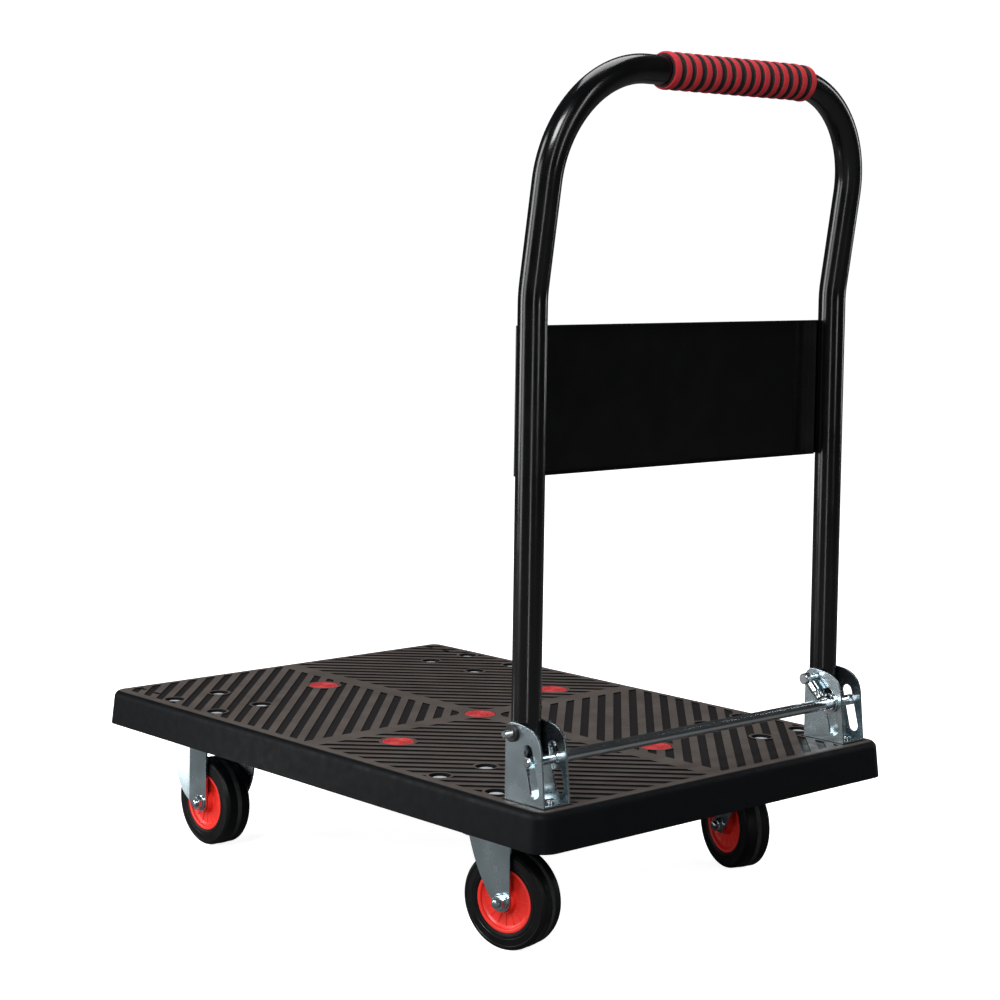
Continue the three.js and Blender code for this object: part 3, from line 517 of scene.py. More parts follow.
def deck_material():
    n = Nodes("deck_moulding")
    coordinates = n.add("ShaderNodeTexCoord")
    normal = n.add("ShaderNodeSeparateXYZ")
    n.link(coordinates.outputs["Normal"], normal.inputs["Vector"])
    place = n.add("ShaderNodeSeparateXYZ")
    n.link(coordinates.outputs["Object"], place.inputs["Vector"])
    # Painted shade: upward faces sunk below the top, such as the stripe floors and pocket floors, get a
    # near-black tone that stands in for the shade in the recesses.
    groove = n.spread(
        place.outputs["Z"], (DECK_TOP - STRIPE_DEPTH * 0.8) * MM, (DECK_TOP - STRIPE_DEPTH * 0.3) * MM, 0, 1
    )
    patches = n.spread(n.noise(26, 6), 0.35, 0.7, 0, 1)
    plain = n.mix(patches, (0.066, 0.055, 0.05), (0.086, 0.073, 0.067))
    top = n.mix(groove, (0.0125, 0.011, 0.011), plain)
    # Painted light and shade on one plastic: faces that point up get a lighter, warm tone for the light and
    # warm reflection the top catches, and the sides get a near-black tone for the shade on the skirt. The
    # streaks on the skirt are wear.
    painted_lit_top_mask = n.spread(normal.outputs["Z"], 0.9, 0.99, 0, 1)
    scuffs = n.spread(n.noise(240, 8, (1, 1, 0.15)), 0.66, 0.76, 0, 0.35)
    skirt = n.mix(scuffs, (0.002, 0.0026, 0.0034), (0.008, 0.008, 0.009))
    n.color(n.mix(painted_lit_top_mask, skirt, top))
    n.roughness(n.spread(n.noise(90, 5), 0.3, 0.7, 0.42, 0.6))
    n.set(Specular_IOR_Level=0.1)
    n.bump(n.noise(1400, 3), 0.05, 0.4)
    return n.material


def surface(name, dark, light, mottle, gloss, roughness, grain=None, relief=None, **settings):
    """A material mottled between two tones; mottle, gloss and grain are noises of (scale, detail)."""
    n = Nodes(name)
    n.color(n.mix(n.noise(*mottle), dark, light))
    n.roughness(n.spread(n.noise(*gloss), 0.3, 0.7, *roughness))
    n.set(**settings)
    if grain:
        n.bump(n.noise(*grain), *relief)
    return n.material


def rubber_material(name, dark, light, roughness):
    return surface(
        name, dark, light, (120, 6), (160, 5), roughness, (1100, 4), (0.06, 0.4), Specular_IOR_Level=0.2
    )


def metal_material(name, dark, light, roughness, metallic=1.0):
    return surface(name, dark, light, (45, 6), (30, 4), roughness, Metallic=metallic)


def foam_material(name, dark, light):
    n = Nodes(name)
    n.color(n.mix(n.noise(420, 5), dark, light))
    n.roughness(n.spread(n.noise(300, 3), 0.3, 0.7, 0.75, 0.92))
    n.bump(n.cells(1500), 0.2, 0.5)
    return n.material


DECK = deck_material()
RED = surface(
    "red_moulding", (0.7, 0.016, 0.01), (0.82, 0.03, 0.018),
    mottle=(60, 4), gloss=(200, 3), roughness=(0.32, 0.45), grain=(900, 2), relief=(0.08, 0.4),
)
DISC = surface(
    "disc_moulding", (0.36, 0.012, 0.014), (0.5, 0.03, 0.034),
    mottle=(300, 5), gloss=(200, 3), roughness=(0.4, 0.55), grain=(1200, 2), relief=(0.1, 0.5),
)
PAINT = surface(
    "black_gloss_paint", (0.0012, 0.0013, 0.0016), (0.0022, 0.0023, 0.0028),
    mottle=(50, 3), gloss=(35, 5), roughness=(0.14, 0.22), grain=(420, 2), relief=(0.01, 0.3),
)
BLACK = surface(
    "black_moulding", (0.008, 0.008, 0.009), (0.018, 0.018, 0.019),
    mottle=(150, 4), gloss=(180, 3), roughness=(0.4, 0.55), grain=(1000, 3), relief=(0.1, 0.5),
)
RUBBER = rubber_material("wheel_rubber", (0.0022, 0.0024, 0.0028), (0.005, 0.0052, 0.0058), (0.3, 0.45))
WORN = rubber_material("worn_rubber", (0.012, 0.013, 0.014), (0.06, 0.063, 0.066), (0.6, 0.8))
ZINC = metal_material("zinc_plate", (0.34, 0.42, 0.45), (0.52, 0.61, 0.65), (0.2, 0.3))
STEEL = metal_material("bright_steel", (0.5, 0.55, 0.58), (0.68, 0.73, 0.76), (0.12, 0.2))
BOLT = metal_material("satin_steel", (0.45, 0.48, 0.5), (0.6, 0.64, 0.67), (0.4, 0.5), 0.4)
FOAM_RED = foam_material("foam_rib", (0.42, 0.01, 0.018), (0.6, 0.024, 0.036))
FOAM_BLACK = foam_material("foam_groove", (0.004, 0.004, 0.004), (0.012, 0.01, 0.01))


def smooth(obj, sharp_angle=32):
    for polygon in obj.data.polygons:
        polygon.use_smooth = True
    obj.data.set_sharp_from_angle(angle=math.radians(sharp_angle))


def flat_faces_stay_flat(obj):
    """Weights the smooth shading by face area, so that only the rounded edges bend it."""
    modifier = obj.modifiers.new("weights", "WEIGHTED_NORMAL")
    modifier.keep_sharp = True
    settle(obj)


def dress(obj, name, material, body, replaced=(), sharp_angle=32):
    """Names a piece, gives it its look, and makes it ride on its body."""
    obj.name = name
    obj.data.name = name
    if not obj.data.materials:
        obj.data.materials.append(material)
    smooth(obj, sharp_angle)
    flat_faces_stay_flat(obj)
    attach(obj, body)
    if replaced:
        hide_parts(*replaced)


# ---------- deck ----------


def caster_bolt_places():
    return [
        (end * CASTER_X + step_x * CASTER_BOLT_X / 2, side * CASTER_Y + step_y * CASTER_BOLT_Y / 2)
        for end in (1, -1) for _, side in SIDES for step_x in (1, -1) for step_y in (1, -1)
    ]


def disc_places():
    names = ("centre", "front", "rear", "left", "right")
    return [(name, middle(f"deck_disc_{name}")) for name in names]


def clipped(polygon, nx, ny, limit):
    """The part of a convex polygon where nx * x + ny * y is at most the limit."""
    kept = []
    for i, a in enumerate(polygon):
        b = polygon[(i + 1) % len(polygon)]
        da, db = nx * a[0] + ny * a[1] - limit, nx * b[0] + ny * b[1] - limit
        if da <= 0:
            kept.append(a)
        if (da < 0) != (db < 0) and da != db:
            t = da / (da - db)
            kept.append((a[0] + t * (b[0] - a[0]), a[1] + t * (b[1] - a[1])))
    return kept


def filleted(polygon, radius, steps=3):
    """A convex polygon with its corners rounded."""
    points = []
    count = len(polygon)
    for i in range(count):
        corner = Vector(polygon[i])
        to_last = Vector(polygon[i - 1]) - corner
        to_next = Vector(polygon[(i + 1) % count]) - corner
        reach = min(radius, to_last.length * 0.45, to_next.length * 0.45)
        start = corner + to_last.normalized() * reach
        end = corner + to_next.normalized() * reach
        points.append(tuple(start))
        points += bezier((start, corner, end), steps)
    return points


def stripe_polygons():
    """The recessed stripes of one quarter, at 45 degrees; the first is the rounded corner by the disc."""
    outer_x, outer_y = HALF_LENGTH - BORDER, HALF_WIDTH - BORDER
    apex = CROSS_BAND + APEX_RADIUS
    corner = arc(apex, apex, APEX_RADIUS, math.pi, 1.5 * math.pi, 10)
    quarter = corner + [(outer_x, CROSS_BAND), (outer_x, outer_y), (CROSS_BAND, outer_y)]
    half_root = math.sqrt(0.5)
    polygons = []
    distance = FIRST_STRIPE
    while distance < (outer_x + outer_y) * half_root:
        strip = clipped(quarter, half_root, half_root, distance + STRIPE_WIDTH / 2)
        if distance > FIRST_STRIPE:
            strip = clipped(strip, -half_root, -half_root, STRIPE_WIDTH / 2 - distance)
        if len(strip) > 2:
            polygons.append(filleted(strip, STRIPE_CORNER))
        distance += STRIPE_PITCH
    return polygons


def bracket_recess(side, margin, depth):
    x, y = PIVOT.x, side * TUBE_Y
    half = CHEEK_OUTER + margin
    return block(
        "recess",
        (x - BRACKET_FOOT_REAR - margin, y - half, DECK_TOP - depth),
        (x + BRACKET_FOOT_FRONT + margin, y + half, DECK_TOP + 10),
    )


def stripe_cutter():
    stripes = []
    for side_x in (1, -1):
        for side_y in (1, -1):
            for polygon in stripe_polygons():
                outline = [(side_x * x, side_y * y) for x, y in polygon]
                stripes.append(prism("stripe", outline, DECK_TOP - STRIPE_DEPTH, DECK_TOP + 5))
    rounds = [(x, y, POCKET_RADIUS + LAND) for x, y in caster_bolt_places()]
    rounds += [(place.x, place.y, DISC_RADIUS + LAND) for _, place in disc_places()]
    lands = [prism("land", circle(*each, 48), DECK_TOP - 9, DECK_TOP + 9) for each in rounds]
    lands += [bracket_recess(side, BRACKET_LAND, 9) for _, side in SIDES]
    return cut(merged("stripes", stripes), merged("lands", lands))


def deck_body():
    """The outer moulding, from the skirt's lower edge round the top's rounded edge."""
    rings = [(0, DECK_BOTTOM), (DECK_DRAFT, DECK_TOP - DECK_EDGE_RADIUS)]
    steps = 6
    for i in range(1, steps + 1):
        turn = math.pi / 2 * i / steps
        inset = DECK_DRAFT + DECK_EDGE_RADIUS * (1 - math.cos(turn))
        rings.append((inset, DECK_TOP - DECK_EDGE_RADIUS * (1 - math.sin(turn))))
    levels = []
    for inset, height in rings:
        outline = rounded_rectangle(HALF_LENGTH - inset, HALF_WIDTH - inset, DECK_CORNER_RADIUS - inset)
        levels.append([(x, y, height) for x, y in outline])
    return loft("deck_body", levels)


def deck_cavity():
    """The open cells below the deck, between its ribs."""
    roof = DECK_TOP - DECK_SKIN
    step_x, step_y = 2 * HALF_LENGTH / CELLS_ALONG, 2 * HALF_WIDTH / CELLS_ACROSS
    half = RIB_THICKNESS / 2
    cells = [
        block(
            "cell",
            (i * step_x - HALF_LENGTH + half, j * step_y - HALF_WIDTH + half, DECK_BOTTOM - 9),
            ((i + 1) * step_x - HALF_LENGTH - half, (j + 1) * step_y - HALF_WIDTH - half, roof),
        )
        for i in range(CELLS_ALONG) for j in range(CELLS_ACROSS)
    ]
    inner = rounded_rectangle(
        HALF_LENGTH - DECK_WALL - DECK_DRAFT,
        HALF_WIDTH - DECK_WALL - DECK_DRAFT,
        DECK_CORNER_RADIUS - DECK_WALL,
    )
    cavity = shared(merged("cells", cells), prism("inside", inner, DECK_BOTTOM - 20, DECK_TOP))
    places = caster_bolt_places()
    places += [(PIVOT.x + x, side * TUBE_Y) for _, side in SIDES for _, x in BASE_BOLTS]
    bosses = [prism("boss", circle(x, y, BOSS_RADIUS, 24), PLATE_TOP + GAP, DECK_TOP) for x, y in places]
    return cut(cavity, merged("bosses", bosses)), inner


def pocket_cutter(x, y):
    radius, depth = POCKET_RADIUS, POCKET_DEPTH
    mouth = radius + 0.7
    profile = [(0, -depth), (radius - 0.4, -depth), (radius, -0.6), (mouth, 0.05), (mouth, 3), (0, 3)]
    return lathe("pocket", profile, at(x, y, DECK_TOP), 48)


def corner_slots():
    length, width = (size / 2 for size in CORNER_SLOT_SIZE)
    slots = []
    for x, y in CORNER_SLOTS:
        for _, side in SIDES:
            outline = [(x + u, side * y + v) for u, v in rounded_rectangle(length, width, width - 0.1, 6)]
            slots.append(prism("slot", outline, DECK_TOP - CORNER_SLOT_DEPTH, DECK_TOP + 3))
    return slots


def deck():
    body = deck_body()
    cavity, inner = deck_cavity()
    cut(body, cavity)
    room_x, room_y = PLATE_LENGTH / 2 + PLATE_ROOM, PLATE_WIDTH / 2 + PLATE_ROOM
    rooms = [
        block(
            "room",
            (end * CASTER_X - room_x, side * CASTER_Y - room_y, DECK_BOTTOM - 9),
            (end * CASTER_X + room_x, side * CASTER_Y + room_y, PLATE_TOP + GAP),
        )
        for end in (1, -1) for _, side in SIDES
    ]
    cut(body, prism("underside", inner, DECK_BOTTOM - 20, DECK_BOTTOM + RIB_RISE), merged("rooms", rooms))
    pockets = [pocket_cutter(x, y) for x, y in caster_bolt_places()]
    for _, place in disc_places():
        outline = circle(place.x, place.y, DISC_RADIUS + GAP, 64)
        pockets.append(prism("seat", outline, DECK_TOP - DISC_THICKNESS - GAP, DECK_TOP + 5))
    pockets += [bracket_recess(side, BRACKET_RECESS_MARGIN, BRACKET_RECESS) for _, side in SIDES]
    pockets += corner_slots()
    cut(body, merged("pockets", pockets), stripe_cutter())
    dress(body, "deck_moulding", DECK, "deck", ("deck",))


def deck_discs():
    """Red discs with plain raised rings."""
    thickness, edge = DISC_THICKNESS, 0.5
    for name, place in disc_places():
        profile = [(0, -thickness), (DISC_RADIUS, -thickness), (DISC_RADIUS, -edge), (DISC_RADIUS - edge, 0)]
        radius = DISC_RADIUS - 2.2
        while radius > 3:
            profile += [(radius, 0), (radius - 0.5, -0.7), (radius - 2, -0.7), (radius - 2.5, 0)]
            radius -= 4.4
        profile.append((0, 0))
        disc = lathe("disc", profile, at(place.x, place.y, DECK_TOP), 64)
        dress(disc, f"disc_{name}", DISC, "deck", (f"deck_disc_{name}",))


def caster_bolts():
    head = POCKET_RADIUS - 2.2
    seat = DECK_TOP - POCKET_DEPTH
    for i, (x, y) in enumerate(caster_bolt_places()):
        profile = [(0, PLATE_TOP - 14), (BOLT_RADIUS, PLATE_TOP - 13)]
        profile += domed_head(head, seat, 0.4, 1.1, (0.3, 0.6, 0.9, 1.2))
        bolt = lathe("bolt", profile + [(0, seat + 1.5)], at(x, y, 0), 40)
        dress(bolt, f"caster_bolt_{i + 1:02d}", BOLT, "deck")
        under = at(x, y, PLATE_TOP - PLATE_THICKNESS) @ Matrix.Rotation(math.pi, 4, "X")
        nut = hexagon("nut", 7, 5.5, under, 4.1)
        dress(nut, f"caster_nut_{i + 1:02d}", ZINC, "deck")


# ---------- wheels ----------


def wheel_place(joint_name):
    """Wheel centre, with local Z along the axle."""
    spin = joint(joint_name)
    axis = Vector(spin["axis"])
    return at(*joint_place(joint_name)) @ axis.to_track_quat("Z", "X").to_matrix().to_4x4()


def mirrored_profile(half):
    """A closed profile from one half, listed from the middle outwards."""
    return half + [(radius, -height) for radius, height in reversed(half)]


def tyre(place):
    """A flat-sided tyre with a crisp shoulder, and a worn mould line round the middle of its tread."""
    side, r = TYRE_HALF_WIDTH, WHEEL_RADIUS
    half = [(r, 2.6), (r - 0.3, 3), (r - 0.3, side - 4.2), (r - 0.8, side - 2.6), (r - 2.2, side - 1.1)]
    half += [(r - 3.6, side - 0.5), (r - 4, side), (r - 4.8, side), (r - 5.4, side - 0.5), (38.2, side - 0.2)]
    half += [(37.7, side - 0.6), (36.6, side - 0.6), (36.1, side - 0.2), (34.4, side - 0.3)]
    half.append((TYRE_BORE, side - 0.8))
    body = lathe("tyre", mirrored_profile(half), place, 128, closed=True)
    body.data.materials.append(RUBBER)
    body.data.materials.append(WORN)
    axis = place.to_3x3() @ Vector((0, 0, 1))
    centre = place.translation * MM
    for polygon in body.data.polygons:
        outwards = polygon.center - centre
        height = outwards.dot(axis)
        if abs(height) < 2.7 * MM and (outwards - axis * height).length > (r - 1) * MM:
            polygon.material_index = 1
    return body


def wheel_core(place):
    rim, web, hub, rib_count = 15, 10, 16.5, 16
    half = [(CORE_RADIUS, 0), (CORE_RADIUS, rim - 0.4), (32, rim), (29.8, rim), (28.9, rim - 0.5)]
    half += [(28.4, rim - 2.6), (26.8, web + 1), (25.4, web + 0.2), (14.4, web), (12.6, web + 0.8)]
    half += [(11.4, hub - 1), (10.9, hub), (6.3, hub)]
    core = lathe("core", mirrored_profile(half), place, 96, closed=True)
    ribs = []
    for side in (1, -1):
        for i in range(rib_count):
            turn = place @ Matrix.Rotation(2 * math.pi * i / rib_count, 4, "Z")
            outline = [(13, web - 1), (26.6, web - 1), (26.6, web + 0.9), (13, web + 0.35)]
            ribs.append(prism("rib", [(u, side * v) for u, v in outline], -0.5, 0.5, "Y", turn))
    return joined(core, merged("ribs", ribs))


def axle(place, nut_side, names, body):
    """The bolt through the wheel, its head on one side and its nut on the other."""
    along = place if nut_side > 0 else place @ Matrix.Rotation(math.pi, 4, "X")
    outer = FORK_HALF + GAP
    nut_top = outer + AXLE_NUT_HEIGHT
    profile = [(0, -outer - 1), (BOLT_RADIUS, -outer - 1), (BOLT_RADIUS, nut_top - 1)]
    profile += thread(BOLT_RADIUS, nut_top - 1, nut_top + 3.5)
    shaft = lathe("shaft", profile + [(0, nut_top + 3.5)], along, 40)
    back = along @ Matrix.Rotation(math.pi, 4, "X") @ at(0, 0, outer)
    joined(shaft, hexagon("head", AXLE_HEX_RADIUS, AXLE_HEAD_HEIGHT, back))
    dress(shaft, names + "_bolt", ZINC, body, (names + "_axle_bolt",))
    seat = along @ at(0, 0, outer)
    rim = [(BOLT_HOLE, 0), (8.6, 0), (8.6, 0.9), (8, 1.3), (BOLT_HOLE, 1.3)]
    nut = hexagon("nut", AXLE_HEX_RADIUS, AXLE_NUT_HEIGHT, seat, BOLT_HOLE)
    joined(nut, lathe("nut_flange", rim, seat, 48, True))
    dress(nut, names + "_nut", ZINC, body, (names + "_axle_nut",))


def wheel(caster, spin, wheel_body, axle_body, nut_side):
    place = wheel_place(spin)
    dress(tyre(place), caster + "_rubber", RUBBER, wheel_body, (caster + "_tyre",))
    dress(wheel_core(place), caster + "_core", RED, wheel_body, (caster + "_wheel_core",))
    axle(place, nut_side, caster, axle_body)


# ---------- forks ----------


def leg_outline(top, toe, pull, edge_top):
    """A leg's side outline about the axle: upright at the back, round below, rising to its front edge."""
    r = FORK_END_RADIUS
    points = [(-r, top + 2), (-r, WHEEL_RADIUS)]
    points += arc(0, WHEEL_RADIUS, r, math.pi, 1.5 * math.pi, 10)[1:]
    start = (toe, WHEEL_RADIUS - r)
    points.append(start)
    points += bezier((start, pull, (FORK_LONG_EDGE, edge_top)), 14)
    points.append((FORK_LONG_EDGE, top + 2))
    return points


def bent_channel(top):
    """A sheet bent to an upside-down U across Y."""
    half, r = FORK_HALF, FORK_BEND
    inner, roof, ri = half - FORK_SHEET, top - FORK_SHEET, r - FORK_SHEET
    outline = [(-half, 0), (-inner, 0)]
    outline += arc(ri - inner, roof - ri, ri, math.pi, math.pi / 2, 6)
    outline += arc(inner - ri, roof - ri, ri, math.pi / 2, 0, 6)
    outline += [(inner, 0), (half, 0)]
    outline += arc(half - r, top - r, r, 0, math.pi / 2, 8)
    outline += arc(r - half, top - r, r, math.pi / 2, math.pi, 8)
    return prism("channel", outline, -PLATE_LENGTH, PLATE_LENGTH, "X")


def caster_plate(low):
    outline = rounded_rectangle(PLATE_LENGTH / 2, PLATE_WIDTH / 2, PLATE_CORNER_RADIUS)
    return prism("plate", outline, low, low + PLATE_THICKNESS)


def bisected(work, place, normal):
    parts = list(work.verts) + list(work.edges) + list(work.faces)
    bmesh.ops.bisect_plane(work, geom=parts, plane_co=place, plane_no=normal)


def flare(obj, axle_x):
    """Turns each leg's leading flange outwards beyond the flare line, fading out just below the plate."""
    work = bmesh.new()
    work.from_mesh(obj.data)
    for side in (1, -1):
        for offset in (-3, -1.5, 0, 1.5, 3, 6):
            bisected(work, ((side * (FLARE_LINE + offset) + axle_x) * MM, 0, 0), (1, 0, 0))
    fade_low, fade_high = PLATE_TOP - 16, PLATE_TOP - 4
    for height in (fade_low, (fade_low + fade_high) / 2, fade_high):
        bisected(work, (0, 0, height * MM), (0, 0, 1))
    for vertex in work.verts:
        x, y, z = vertex.co / MM
        side = 1 if y > 0 else -1
        ahead = side * (x - axle_x) - (FLARE_LINE - 3)
        if ahead <= 0 or abs(y) < FORK_INNER_GAP / 2 - 1:
            continue
        fade = min(1, max(0, (fade_high - z) / (fade_high - fade_low)))
        turned = FLARE_ANGLE * fade * min(1, ahead / 6)
        reach = max(0, ahead - 3)
        vertex.co.x = (x - side * reach * (1 - math.cos(turned))) * MM
        vertex.co.y = (y + side * reach * math.sin(turned)) * MM
    work.to_mesh(obj.data)
    work.free()


def fixed_fork(side, name):
    outline = leg_outline(PLATE_TOP, *FIXED_LEG)
    near = prism("near", [(FIXED_AXLE_OFFSET + x, z) for x, z in outline], 1, 30, "Y")
    far = prism("far", [(FIXED_AXLE_OFFSET - x, z) for x, z in outline], -30, -1, "Y")
    legs = shared(bent_channel(PLATE_TOP), merged("legs", [near, far]))
    cut(legs, bolt_hole(40, facing_y(FIXED_AXLE_OFFSET, 0, WHEEL_RADIUS)))
    flare(legs, FIXED_AXLE_OFFSET)
    joined(legs, caster_plate(PLATE_TOP - PLATE_THICKNESS))
    rounded_edges(legs, 0.35)
    legs.data.transform(Matrix.Translation((CASTER_X * MM, side * CASTER_Y * MM, 0)))
    dress(legs, name + "_legs", ZINC, "deck", (name + "_fork",))


def swivel_fork(side, name, body, wheel_centre):
    outline = leg_outline(CROWN_TOP, *SWIVEL_LEG)
    sides = prism("sides", [(x - SWIVEL_TRAIL, z) for x, z in outline], -30, 30, "Y")
    fork = shared(bent_channel(CROWN_TOP), sides)
    crown = prism("crown", circle(0, 0, CROWN_RADIUS, 64), CROWN_TOP - FORK_SHEET, CROWN_TOP)
    cut(fork, bolt_hole(40, facing_y(-SWIVEL_TRAIL, 0, WHEEL_RADIUS)))
    joined(fork, crown)
    rounded_edges(fork, 0.35)
    centre = Vector((-CASTER_X, side * CASTER_Y, 0))
    back = wheel_centre - centre
    turn = math.atan2(-back.y, -back.x)
    fork.data.transform(Matrix.Translation(centre * MM) @ Matrix.Rotation(turn, 4, "Z"))
    dress(fork, name + "_legs", ZINC, body, (name + "_fork",))


def swivel_head(side, name):
    """The fixed top plate and the ring of the ball race below it."""
    plate = caster_plate(PLATE_TOP - PLATE_THICKNESS)
    rounded_edges(plate, 0.35)
    plate.data.transform(Matrix.Translation((-CASTER_X * MM, side * CASTER_Y * MM, 0)))
    dress(plate, name + "_top_plate", ZINC, "deck", (name + "_plate",))
    low, high = CROWN_TOP + GAP, PLATE_TOP - PLATE_THICKNESS - GAP
    bore, rim, groove = 5.3, 25, 23.2
    profile = [(bore, low), (20, low), (23.4, low + 1.2), (rim, low + 3.6), (rim, low + 4.6)]
    profile += [(groove, low + 5.2), (groove, low + 6.2), (rim, low + 6.8), (rim, high - 3)]
    profile += [(23, high - 0.8), (20, high), (bore, high)]
    race = lathe("race", profile, at(-CASTER_X, side * CASTER_Y, 0), 80, closed=True)
    dress(race, name + "_ball_race", ZINC, "deck", (name + "_race",))


# ---------- handle ----------

LEAN_ARC = LEAN_RADIUS * LEAN
TOP_LENGTH = LEAN_ARC + (TOP_CENTRE - LEAN_START - LEAN_RADIUS * math.sin(LEAN)) / math.cos(LEAN)


def station(length, y, heading):
    """A place on the handle's centre line: its length up from the lean's start, and which way it heads."""
    bent = min(max(length, 0), LEAN_ARC)
    angle = bent / LEAN_RADIUS
    rest = length - bent
    back = LEAN_RADIUS * (1 - math.cos(angle)) + rest * math.sin(angle)
    height = LEAN_START + LEAN_RADIUS * math.sin(angle) + rest * math.cos(angle)
    rise = math.cos(heading)
    tangent = Vector((-math.sin(angle) * rise, -math.sin(heading), math.cos(angle) * rise))
    return Vector((PIVOT.x - back, y, height)), tangent


def corner_station(angle, side):
    r = CORNER_RADIUS
    length = TOP_LENGTH - r + r * math.sin(angle)
    y = side * (TUBE_Y - r + r * math.cos(angle))
    return station(length, y, angle if side > 0 else math.pi - angle)


def handle_tube():
    end = low_high("handle_tube")[0].z - LEAN_START
    lean_steps, corner_steps = 10, 36
    rising = [station(end, TUBE_Y, 0)]
    rising += [station(LEAN_ARC * i / lean_steps, TUBE_Y, 0) for i in range(lean_steps + 1)]
    rising += [corner_station(math.pi / 2 * i / corner_steps, 1) for i in range(corner_steps + 1)]
    falling = [
        (Vector((p.x, -p.y, p.z)), Vector((-t.x, t.y, -t.z))) for p, t in reversed(rising)
    ]
    stations = rising + falling
    tube = sweep("tube", stations, [TUBE_RADIUS] * len(stations), 48)
    dress(tube, "tube", PAINT, "handle", ("handle_tube",))


def grip_radius(share):
    """The foam's radius along its length: round ribs, with square-bottomed grooves between them."""
    pitches = GRIP_RIBS - 1 + GRIP_RIB_SHARE
    within = (share * pitches) % 1
    if within > GRIP_RIB_SHARE:
        return GRIP_RADIUS - GRIP_GROOVE_DEPTH, True
    bow = math.sin(math.pi * within / GRIP_RIB_SHARE)
    return GRIP_RADIUS - 0.9 * (1 - bow**0.5), False


def grip():
    straight_end = TUBE_Y - CORNER_RADIUS
    straight = GRIP_LEFT_END + straight_end
    stations, radii, dark = [], [], []
    steps = GRIP_RIBS * 16
    for i in range(steps + 1):
        run = GRIP_LENGTH * i / steps
        if run <= straight:
            stations.append(station(TOP_LENGTH, GRIP_LEFT_END - run, math.pi / 2))
        else:
            stations.append(corner_station(math.pi / 2 - (run - straight) / CORNER_RADIUS, -1))
        radius, groove = grip_radius(min(i / steps, 0.9999))
        radii.append(radius)
        dark.append(groove)
    sides = 56
    body = sweep("grip", stations, radii, sides)
    body.data.materials.append(FOAM_RED)
    body.data.materials.append(FOAM_BLACK)
    for polygon in body.data.polygons:
        ring = polygon.index // sides
        if ring < steps and (dark[ring] or dark[ring + 1]):
            polygon.material_index = 1
    dress(body, "grip", FOAM_RED, "handle", ("handle_grip",), 50)
    point, tangent = stations[0]
    ends = [(point + tangent * 0.4, tangent), (point - tangent * 0.5, tangent)]
    lining = sweep("lining", ends, [LINING_RADIUS, LINING_RADIUS], sides)
    dress(lining, "grip_lining", FOAM_BLACK, "handle")


def panel():
    low, high = low_high("handle_panel")
    face = high.x - PANEL_SHEET
    room_y = PANEL_LIP_Y - PANEL_SHEET
    body = block("sheet", (face, low.y, low.z), (high.x, high.y, high.z))
    tray = block("tray", (low.x, -PANEL_LIP_Y, low.z), (high.x, PANEL_LIP_Y, high.z))
    room = block("room", (low.x - 5, -room_y, low.z + PANEL_SHEET), (face, room_y, high.z - PANEL_SHEET))
    cut(tray, room)
    joined(body, tray)
    rounded_edges(body, 0.5, 3)
    dress(body, "panel", PAINT, "handle", ("handle_panel",))


def tube_plug(side, name):
    """A domed plug that follows the tube's swing past the lock rod."""
    flange = TUBE_RADIUS - 0.5
    steps = 10
    turns = [math.asin(flange / TUBE_END_REACH) * i / steps for i in range(steps + 1)]
    profile = [(TUBE_END_REACH * math.sin(t), -TUBE_END_REACH * math.cos(t)) for t in turns]
    rim = -low_high("handle_tube")[0].z + PIVOT.z + GAP
    top = PLUG_STEM_LENGTH - rim
    profile += [(flange, -rim), (PLUG_STEM_RADIUS, -rim), (PLUG_STEM_RADIUS, top), (0, top)]
    plug = lathe("plug", profile, at(PIVOT.x, side * TUBE_Y, PIVOT.z), 56)
    dress(plug, f"plug_{name}", BLACK, "handle", (f"handle_plug_{name}",))


# ---------- brackets and lock ----------


def cheek_outline():
    x, r = PIVOT.x, BRACKET_LOBE_RADIUS
    floor = BRACKET_FLOOR
    front = x + BRACKET_FOOT_FRONT
    points = [(x - BRACKET_FOOT_REAR, floor), (front, floor), (front, floor + BRACKET_SHEET)]
    points += bezier((points[-1], (x + r, floor + SWEEP_PULL), (x + r, floor + SWEEP_HEIGHT)), 8)
    points += arc(x, PIVOT.z, r, 0, math.pi / 2, 16)
    top = PIVOT.z + r
    rear = x - BRACKET_CHEEK_REAR
    pulls = (x - SHOULDER_BACK, top), (rear + REAR_INSET, top - REAR_DROP)
    return points + bezier((points[-1], *pulls, (rear, DECK_TOP + BRACKET_CHEEK_REAR_HEIGHT)), 18)


def slot_outline():
    dx, dz = -math.sin(SLOT_LEAN), -math.cos(SLOT_LEAN)
    top = (ROD.x - dx * SLOT_ABOVE_ROD, ROD.z - dz * SLOT_ABOVE_ROD)
    end = (ROD.x + dx * SLOT_BELOW_ROD, ROD.z + dz * SLOT_BELOW_ROD)
    points = arc(*top, SLOT_RADIUS, -SLOT_LEAN, math.pi - SLOT_LEAN, 14)
    return points + arc(*end, SLOT_RADIUS, math.pi - SLOT_LEAN, 2 * math.pi - SLOT_LEAN, 14)


